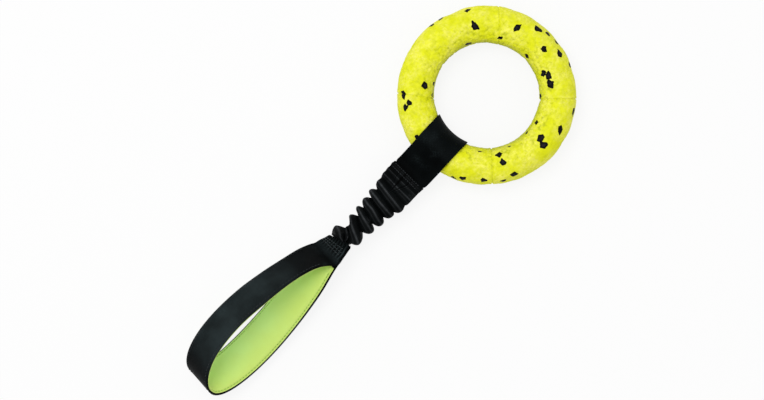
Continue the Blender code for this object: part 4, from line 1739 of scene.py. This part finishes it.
@dataclass
class HandLoop(SubAssembly):
    """The hand loop: a band whose two ends are sewn together as the tab, its lime lining and its seams.

    The band's middle line is a teardrop that rolls: its bow, sway, climb and roll all follow sines of
    one turn that runs out along the upper strap and back along the lower one.
    """

    width: float = 38.0 * MM
    thickness: float = 1.9 * MM
    fold_gap: float = 0.15 * MM
    length: float = 168.1 * MM
    bow: float = 22.9 * MM
    sway: float = 5.3 * MM
    sway_power: float = 1.2
    drift: Knots = (
        (-100.0, 0.0), (-91.0, 0.2), (-81.4, 0.8), (-76.0, 1.1), (-70.0, 1.1), (-64.3, 0.85), (-58.6, 0.45),
        (-53.0, 0.35), (-45.6, 0.5),
    )
    # Painted sheen along the band, by place along X
    wear_and_sheen: Knots = (
        (-226.0, 0.1), (-215.0, 0.55), (-190.0, 1.0), (-130.0, 1.0), (-108.0, 0.7), (-92.0, 0.08),
        (-66.0, 0.0), (-60.0, 0.5), (-52.0, 0.55), (-46.0, 0.1),
    )
    rise: float = 24.0 * MM
    lift: float = 7.6 * MM
    end_lift: float = 4.0 * MM
    roll: float = SLEEVE_ROLL
    end_roll: float = math.radians(34.9)
    near_roll: float = math.radians(10.4)
    far_roll: float = math.radians(27.0)
    far_share: Line = (0.55, -0.45)
    first_roll: float = math.radians(7.0)
    fullness: float = 0.8
    bend: float = 1.2 * MM
    square_length: float = 12.0 * MM
    turn_steps: int = 720
    across_steps: int = 56
    edge_steps: int = 9
    step: float = 1.15 * MM
    softening: float = 1.5 * MM
    wave_height: float = 0.25 * MM
    wave_size: float = 21.0 * MM
    tab_steps: int = 25
    tab_end: float = -45.6 * MM
    tab_slant: float = 3.2 * MM
    tab_slant_length: float = 13.0 * MM
    tab_ply: float = 2.85 * MM
    tab_ply_from: float = 1.5 * MM
    tab_mouth_ply: float = 4.2 * MM
    tab_mouth_length: float = 6.0 * MM
    tab_end_half: float = 14.0 * MM
    tab_flare: float = 22.0 * MM
    tab_corner: float = 2.4 * MM
    tab_spread: float = 9.0 * MM
    tab_core: float = 8.5 * MM
    tab_closing: float = 4.5 * MM
    tab_closing_from: float = 4.0 * MM
    pucker: float = 0.6 * MM
    pucker_length: float = 16.0 * MM
    pucker_wander: float = 2.2
    pucker_size: float = 6.0 * MM
    puckers: float = 4.5
    # Painted highlights on the puckers' crests near the tab
    pucker_sheen_length: float = 11.0 * MM
    pucker_sheen_fade: float = 5.0 * MM
    pucker_sheen_size: float = 2.4 * MM
    pucker_sheen_broken: Line = (0.55, 0.45)
    pucker_sheen_gain: Line = (-0.85, 3.2)
    hem_notch: float = 0.55 * MM
    hem_reach: float = 0.3 * MM
    hem_fade: float = 4.0 * MM
    seam_inset: float = 2.8 * MM
    seam_hollow: float = 0.22 * MM
    seam_reach: float = 1.3 * MM
    seam_start: float = 12.0 * MM
    stitch_pitch: float = 3.4 * MM
    stitch_sunk: float = 0.1 * MM
    lining_stitch_sunk: float = 0.62 * MM
    lining_steps: int = 72
    lining_edge_steps: int = 6
    lining_width: float = 35.8 * MM
    lining_thickness: float = 2.9 * MM
    lining_rim: float = 1.5 * MM
    lining_seat: float = 0.06 * MM
    lining_start: float = 2.2 * MM
    lining_swell: float = 16.0 * MM
    lining_grown: Line = (0.3, 0.7)
    lining_crown: tuple[float, float] = (4.0, 0.7)
    lining_wave: float = 0.18 * MM
    lining_wave_size: float = 16.0 * MM
    lining_pinch: float = 0.75 * MM
    lining_pinch_reach: float = 0.8 * MM
    blend_from: float = -57.5 * MM
    blend_to: float = -74.0 * MM
    tack_rows: tuple[float, ...] = (-50.9 * MM, -53.6 * MM, -56.2 * MM)
    tack_pitch: float = 2.9 * MM
    tack_inset: float = 2.0 * MM
    tack_stitch: float = 2.3 * MM
    tack_lean: float = 0.22

    def teardrop(self) -> tuple[Array, Array]:
        """The middle line past the throat, and the band's roll along it.

        The roll goes evenly from the tab's to the far end's, swung by the turn's sine. The lower strap lies
        flatter by the sine's square, less and less towards the tab, and the start of the upper one steeper
        by the square of the doubled turn's sine. The middle gives way so that one edge stays where it is.

        Returns:
            The points and the rolls.
        """
        turn = np.linspace(0.0, 2 * np.pi, self.turn_steps + 1)
        reach = (1.0 - np.cos(turn)) / 2
        kept = self.length * reach > self.bend
        turn, reach = turn[kept], reach[kept]
        bow = np.sin(turn) * np.abs(np.sin(turn / 2)) ** self.fullness
        x = self.layout.throat_x - self.length * reach
        swayed = self.sway * np.abs(np.sin(turn)) ** self.sway_power
        climb = self.rise * bow + self.lift * np.sin(turn) ** 2 + self.end_lift * reach
        line = together(x, self.bow * bow + swayed + self.drifted(x), self.layout.axis_z + climb)
        even = self.roll + (self.end_roll - self.roll) * reach + self.near_roll * np.sin(turn)
        flatter = self.far_roll * np.minimum(np.sin(turn), 0.0) ** 2 * on_line(self.far_share, np.cos(turn))
        steeper = self.first_roll * np.maximum(np.sin(2 * turn), 0.0) ** 2 * (turn < np.pi / 2)
        roll = even - flatter + steeper
        line[:, 1] += self.width / 2 * np.abs(np.cos(roll) - np.cos(even))
        ply = (self.thickness / 2 + self.fold_gap) * through(self.roll)
        return line + np.cos(turn / 2)[:, None] * ply, roll

    def drifted(self, x: Array) -> Array:
        """How far the band's middle strays to its left, read from straight runs between knots."""
        return MM * straight_through(self.drift, x / MM)

    def ply(self, x: Array) -> Array:
        """How far a ply's middle stands from the tab's: least at the throat, then over the sewn stack by an
        S, and by another over the sleeve's end.

        Args:
            x: places along X.

        Returns:
            The distances.
        """
        least = self.thickness / 2 + self.fold_gap
        over_stack = smooth((x - self.layout.throat_x - self.tab_ply_from) / self.tab_spread)
        over_mouth = smooth((x - self.tab_end + self.tab_mouth_length) / self.tab_mouth_length)
        return least + (self.tab_ply - least) * over_stack + (self.tab_mouth_ply - self.tab_ply) * over_mouth

    def tab_line(self, face: Face) -> Array:
        """One ply's middle line from the tab's end to the throat.

        Args:
            face: which ply.

        Returns:
            The points.
        """
        x = np.linspace(self.tab_end, self.layout.throat_x, self.tab_steps)
        line = self.layout.placed(x, 0.0 * x, face.value * self.ply(x), self.roll)
        line[:, 1] += self.drifted(x)
        return line

    def route(self) -> Route:
        """The whole band, from the upper ply's end at the tab, round the loop, to the lower ply's end.

        Returns:
            The route.
        """
        drop, roll = self.teardrop()
        line = np.concatenate([self.tab_line(Face.UPPER), drop, self.tab_line(Face.LOWER)[::-1]])
        roll = np.pad(roll, self.tab_steps, constant_values=self.roll)
        tangent = unit(np.gradient(line, axis=0))
        wide = across(roll)
        square = smooth((self.layout.throat_x - line[:, 0]) / self.square_length)
        wide = unit(wide - (square * (wide * tangent).sum(axis=1))[:, None] * tangent)
        return Route.through_points(line, wide, self.step, self.softening)

    def half_widths(self, x: Array) -> Array:
        """Half the band's width: full from the throat on, drawn in by an S towards the tab's end, whose
        corners are rounded by a quarter circle.

        Args:
            x: places along X.

        Returns:
            The half widths.
        """
        share = smooth((self.tab_end - x) / self.tab_flare)
        corner = np.clip(1.0 - (self.tab_end - x) / self.tab_corner, 0.0, 1.0)
        rounding = self.tab_corner * (1.0 - np.sqrt(1.0 - corner ** 2))
        return self.tab_end_half + (self.width / 2 - self.tab_end_half) * share - rounding

    def pleated(self, x: Array, w: Array, face: Array | float) -> Array:
        """The puckers across the band, from -1 to 1: a cosine of the share across it, which noise bends.

        Args:
            x: places along X.
            w: places across the band.
            face: 1 where the band faces up, -1 where it faces down.

        Returns:
            One value for each place.
        """
        share = w / self.half_widths(x)
        seat = together(share * 2 * self.pucker_size, x, face * 1.5 * self.pucker_size)
        wander = self.pucker_wander * noise(seat, self.pucker_size, seed=51)
        return np.cos(2 * np.pi * self.puckers * share + wander)

    def relief(self, x: Array, along: Array, w: Array, face: Array | float) -> Array:
        """How far the band's faces stand out.

        At the tab a fan of puckers runs from the sleeve's end, and the plies close on each other at their
        edges. Past the throat there are slow waves, and a dip along each seam.

        Args:
            x: the stations' places along X.
            along: how far along the band they are.
            w: places across the band.
            face: 1 where the band faces up, -1 where it faces down.

        Returns:
            Heights, in metres, as many as the places.
        """
        fan = 1.0 - smooth((self.tab_end - x) / self.pucker_length)
        pleats = self.pucker * fan * self.pleated(x, w, face)
        waves = self.wave_height * noise(together(w, along, 0.0), self.wave_size, seed=52)
        off_seam = (np.abs(w) - self.width / 2 + self.seam_inset) / self.seam_reach
        sewn = smooth((self.layout.throat_x - self.seam_start / 2 - x) / self.seam_start)
        in_tab = smooth((x - self.layout.throat_x) / self.tab_closing_from)
        spare = self.ply(x) - self.thickness / 2 - self.fold_gap - self.pucker
        closing = np.maximum(spare, 0.0) * in_tab * smooth((np.abs(w) - self.tab_core) / self.tab_closing)
        return pleats - closing + waves * (1.0 - fan) - self.seam_hollow * bell(off_seam) * sewn

    def build(self) -> None:
        """The band, its lining, the seams along it and the stitches across the tab."""
        route = self.route()
        self.band(route)
        self.lining(route)
        for side in Side:
            self.seam(route, side)
        for face in Face:
            self.tack(face)

    def joined(self, made: bpy.types.Object, slot: str) -> None:
        """Bakes a piece's place into its mesh.

        Args:
            made: the piece.
            slot: not used.
        """
        start, end = self.layout.on_axis(self.blend_from), self.layout.on_axis(self.blend_to)
        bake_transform(made)

    def slanted(self, points: Array, share: Array) -> Array:
        """Points moved along X by the share across the band, so that the tab's end runs aslant."""
        fade = 1.0 - smooth((self.tab_end - points[..., 0]) / self.tab_slant_length)
        return points + (self.tab_slant * share * fade)[..., None] * np.array([1.0, 0.0, 0.0])

    def band(self, route: Route) -> None:
        """The webbing, whose edges are notched at the tab, where its ends are folded under as a hem.

        Args:
            route: the band's route.
        """
        section = Section.make(self.across_steps, self.edge_steps)
        x = route.line[:, :1]
        half = self.half_widths(x)
        w, n = section.points(half[:, 0], self.thickness)
        hem = 1.0 - smooth((self.tab_end - x - self.pucker_length) / self.hem_fade)
        notch = self.hem_notch * bell(n / self.hem_reach) * np.abs(section.edge)
        share = w / half
        w = w - np.sign(w) * notch * hem
        face = np.where(route.out[:, 2:] > 0.0, 1.0, -1.0)
        points = route.carry(w, n + self.relief(x, route.along[:, None], w, face))
        slanted = self.slanted(points, share)
        v = section.round_it(self.width / 2, self.thickness)
        made = ringed("loop_webbing", slanted[None], route.along, v, self.finishes.webbing, capped=True)
        # Painted sheen along the band, stored as the finish's crest share
        crest = straight_through(self.wear_and_sheen, points[..., 0] / MM)
        # Painted highlight on the puckers' crests near the tab
        broken = on_line(self.pucker_sheen_broken, noise(points, self.pucker_sheen_size, seed=53))
        pucker_sheen = smooth(self.pleated(x, w, face)) * broken
        near_tab = 1.0 - smooth((self.tab_end - x - self.pucker_sheen_length) / self.pucker_sheen_fade)
        gain = 1.0 + near_tab * on_line(self.pucker_sheen_gain, pucker_sheen)
        mark(made, "crest", np.clip(crest * gain, 0.0, 1.0))
        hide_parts("handle_webbing", "tab_webbing")
        self.joined(made, "webbing")
        tell(made, "hand loop webbing with its sewn ends")

    def lining(self, route: Route) -> None:
        """The pad inside the loop: thick between its seams, pinched at them and rounded at its rim.

        Its thickness is a crown that falls by a fourth power towards a seam, plus a rim, times a share that
        grows with the distance from the throat.

        Args:
            route: the band's route.
        """
        from_throat = self.layout.throat_x - route.line[:, 0]
        kept = from_throat > self.lining_start
        part = Route(route.line[kept], route.width[kept], route.out[kept], route.along[kept])
        along = part.along[:, None]
        section = Section.make(self.lining_steps, self.lining_edge_steps)
        w, n = section.points(np.full(len(along), self.lining_width / 2), self.lining_rim)
        seam = self.width / 2 - self.seam_inset
        flat, round_off = self.lining_crown
        crown = np.clip(1.0 - np.abs(w / seam) ** flat, 0.0, 1.0) ** round_off
        pinch = bell((np.abs(w) - seam) / self.lining_pinch_reach)
        waves = self.lining_wave * noise(together(w, along, 0.0), self.lining_wave_size, seed=61)
        swollen = smooth((from_throat[kept] - self.lining_start) / self.lining_swell)[:, None]
        share = on_line(self.lining_grown, swollen)
        inner = n < 0.0
        seat = -self.thickness / 2 - self.lining_seat - self.lining_rim / 2 * share
        swell = (self.lining_thickness - self.lining_rim + waves) * crown * inner
        dent = self.lining_pinch * pinch * inner
        face = np.where(part.out[:, 2:] > 0.0, 1.0, -1.0)
        relief = self.relief(part.line[:, :1], along, w, face)
        points = part.carry(w, n * share + seat - (swell - dent) * share + relief)
        v = section.round_it(self.lining_width / 2, self.lining_rim)
        made = ringed("loop_lining", points[None], part.along, v, self.finishes.lining, capped=True)
        # Painted shade stored for the finish in the pinch at each seam
        mark(made, "painted_shade", pinch * inner)
        # Painted light gradient across the band, stored for the finish
        mark(made, "painted_light_across", smooth(0.5 + w / self.width))
        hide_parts("handle_lining")
        self.joined(made, "lining")
        tell(made, "padded lining")

    def seam(self, route: Route, side: Side) -> None:
        """The stitches near one edge, black on the webbing and lime on the lining.

        Args:
            route: the band's route.
            side: the edge.
        """
        from_throat = self.layout.throat_x - route.line[:, 0]
        sewn = route.along[from_throat > self.seam_start]
        part = route.at(np.arange(sewn[0], sewn[-1], self.stitch_pitch))
        middle = part.line + side.value * (self.width / 2 - self.seam_inset) * part.width
        along = unit(np.cross(part.width, part.out))
        name = f"loop_stitches_{side.name.lower()}"
        outside = middle + (self.thickness / 2 - self.stitch_sunk) * part.out
        made = Stitching().build(name, outside, along, part.out, self.finishes.black_thread)
        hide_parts(f"handle_seam_{side.name.lower()}")
        self.joined(made, "thread")
        tell(made, "stitches on the webbing")
        depth = self.thickness / 2 + self.lining_seat + self.lining_rim - self.lining_stitch_sunk
        inside = middle - depth * part.out
        made = Stitching().build(name + "_inside", inside, along, -part.out, self.finishes.lime_thread)
        self.joined(made, "thread")
        tell(made, "stitches on the lining")

    def tack(self, face: Face) -> None:
        """The rows of stitches across one face of the tab.

        Args:
            face: the face that the stitches lie on.
        """
        places = []
        for row in self.tack_rows:
            half = float(self.half_widths(np.array(row))) - self.tack_inset
            w = np.arange(-half, half, self.tack_pitch)
            x = np.full_like(w, row)
            n = self.ply(x) + self.relief(x, 0.0 * x, w, float(face.value)) + self.thickness / 2
            spots = self.layout.placed(x, w, face.value * n, self.roll)
            spots[:, 1] += self.drifted(x)
            places.append(self.slanted(spots, w / self.half_widths(x)))
        places, out = np.concatenate(places), face.value * through(self.roll)
        along = unit(across(self.roll) + np.array([self.tack_lean, 0.0, 0.0]))
        name = face.name.lower()
        stitching = Stitching(length=self.tack_stitch)
        made = stitching.build(f"tab_stitches_{name}", places, along, out, self.finishes.grey_thread)
        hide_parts(f"tab_tack_{name}")
        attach(made, "tab")
        tell(made, "stitches across the tab")


@dataclass
class Studio:
    """The pale floor, the soft lamp, the even sky and the camera over the toy."""

    layout: Layout
    picture_width: float = 764.0
    picture_height: float = 400.0
    ring_pixel: tuple[float, float] = (486.5, 95.4)
    pixel_size: float = 0.95 * MM
    camera_height: float = 2.6
    camera_turn: float = math.radians(-45.0)
    sensor: float = 36.0
    floor_size: float = 12.0
    floor_white: float = 0.8
    floor_roughness: float = 0.9
    floor_glow: float = 0.86
    lamp_place: Place = (0.0, 0.85, 2.25)
    lamp_size: float = 1.3
    lamp_power: float = 25.0
    world_strength: float = 0.74

    def camera(self) -> None:
        """A camera that looks straight down, turned and set back so that the toy lies as photographed."""
        data = bpy.data.cameras.new("camera")
        data.sensor_width = self.sensor
        data.lens = self.sensor * self.camera_height / (self.picture_width * self.pixel_size)
        right = np.array([math.cos(self.camera_turn), math.sin(self.camera_turn)])
        up = np.array([-math.sin(self.camera_turn), math.cos(self.camera_turn)])
        off_right = (self.ring_pixel[0] - self.picture_width / 2) * self.pixel_size
        off_up = (self.picture_height / 2 - self.ring_pixel[1]) * self.pixel_size
        middle = np.array([self.layout.ring_x, 0.0]) - off_right * right - off_up * up
        made = linked("camera", data)
        made.location = (middle[0], middle[1], self.layout.axis_z + self.camera_height)
        made.rotation_euler = (0.0, 0.0, self.camera_turn)
        bpy.context.scene.camera = made

    def background_share(self, bench: Bench) -> Socket:
        """1 for the rays that show the background itself, and 0 for those that light the toy.

        Args:
            bench: adds the nodes.

        Returns:
            The share.
        """
        path = bench.add("LightPath").outputs
        seen = bench.math("MAXIMUM", path["Is Camera Ray"], path["Is Glossy Ray"])
        return bench.math("MAXIMUM", seen, path["Is Transmission Ray"])

    def floor(self) -> None:
        """A plain floor that is nearly white to the camera and keeps the toy's soft shadow."""
        mesh = bpy.data.meshes.new("floor")
        half = self.floor_size / 2
        corners = [(x * half, y * half, 0) for x, y in ((-1, -1), (1, -1), (1, 1), (-1, 1))]
        mesh.from_pydata(corners, [], [(0, 1, 2, 3)])
        material = bpy.data.materials.new("pale_floor")
        material.use_nodes = True
        bench = Bench(material.node_tree)
        shader = material.node_tree.nodes["Principled BSDF"]
        white = (self.floor_white,) * 3 + (1.0,)
        plain = {"Base Color": white, "Roughness": self.floor_roughness, "Specular IOR Level": 0.0}
        for name, value in plain.items():
            bench.feed(shader.inputs[name], value)
        glow = bench.add("Emission", {"Color": (1.0, 1.0, 1.0, 1.0), "Strength": 1.0})
        share = bench.math("MULTIPLY", self.background_share(bench), self.floor_glow)
        mixed = bench.add("MixShader", {0: share, 1: shader.outputs[0], 2: glow.outputs[0]})
        output = material.node_tree.nodes["Material Output"]
        bench.feed(output.inputs["Surface"], mixed.outputs[0])
        mesh.materials.append(material)
        linked("floor", mesh)

    def lights(self) -> None:
        """One large soft lamp from the upper left of the picture, and even light from all round."""
        data = bpy.data.lights.new("key_lamp", "AREA")
        data.shape = "DISK"
        data.size = self.lamp_size
        data.energy = self.lamp_power
        made = linked("key_lamp", data)
        made.location = self.lamp_place
        aim = Vector(self.layout.on_axis(0.0)) - Vector(self.lamp_place)
        made.rotation_euler = aim.to_track_quat("-Z", "Y").to_euler()
        world = bpy.data.worlds.new("studio")
        world.use_nodes = True
        bench = Bench(world.node_tree)
        background = world.node_tree.nodes["Background"]
        bench.feed(background.inputs["Color"], (1.0, 1.0, 1.0, 1.0))
        brighter = 1.0 - self.world_strength
        lit = bench.math("MULTIPLY_ADD", self.background_share(bench), brighter, self.world_strength)
        bench.feed(background.inputs["Strength"], lit)
        bpy.context.scene.world = world

    def build(self) -> None:
        """The whole studio, whose white shows as white."""
        self.camera()
        self.floor()
        self.lights()
        bpy.context.scene.view_settings.view_transform = "Standard"


def main() -> None:
    """Builds the studio and the toy's pieces in order."""
    logging.basicConfig(level=logging.INFO, format="%(message)s")
    layout = Layout.from_frame()
    Studio(layout).build()
    finishes = Finishes.build()
    FoamRing(layout, finishes).build()
    RingStrap(layout, finishes).build()
    GatheredSleeve(layout, finishes).build()
    cords = BungeeCords(layout, finishes)
    for side in Side:
        cords.build(side)
    HandLoop(layout, finishes).build()
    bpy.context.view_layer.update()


if __name__ == "__main__":
    main()
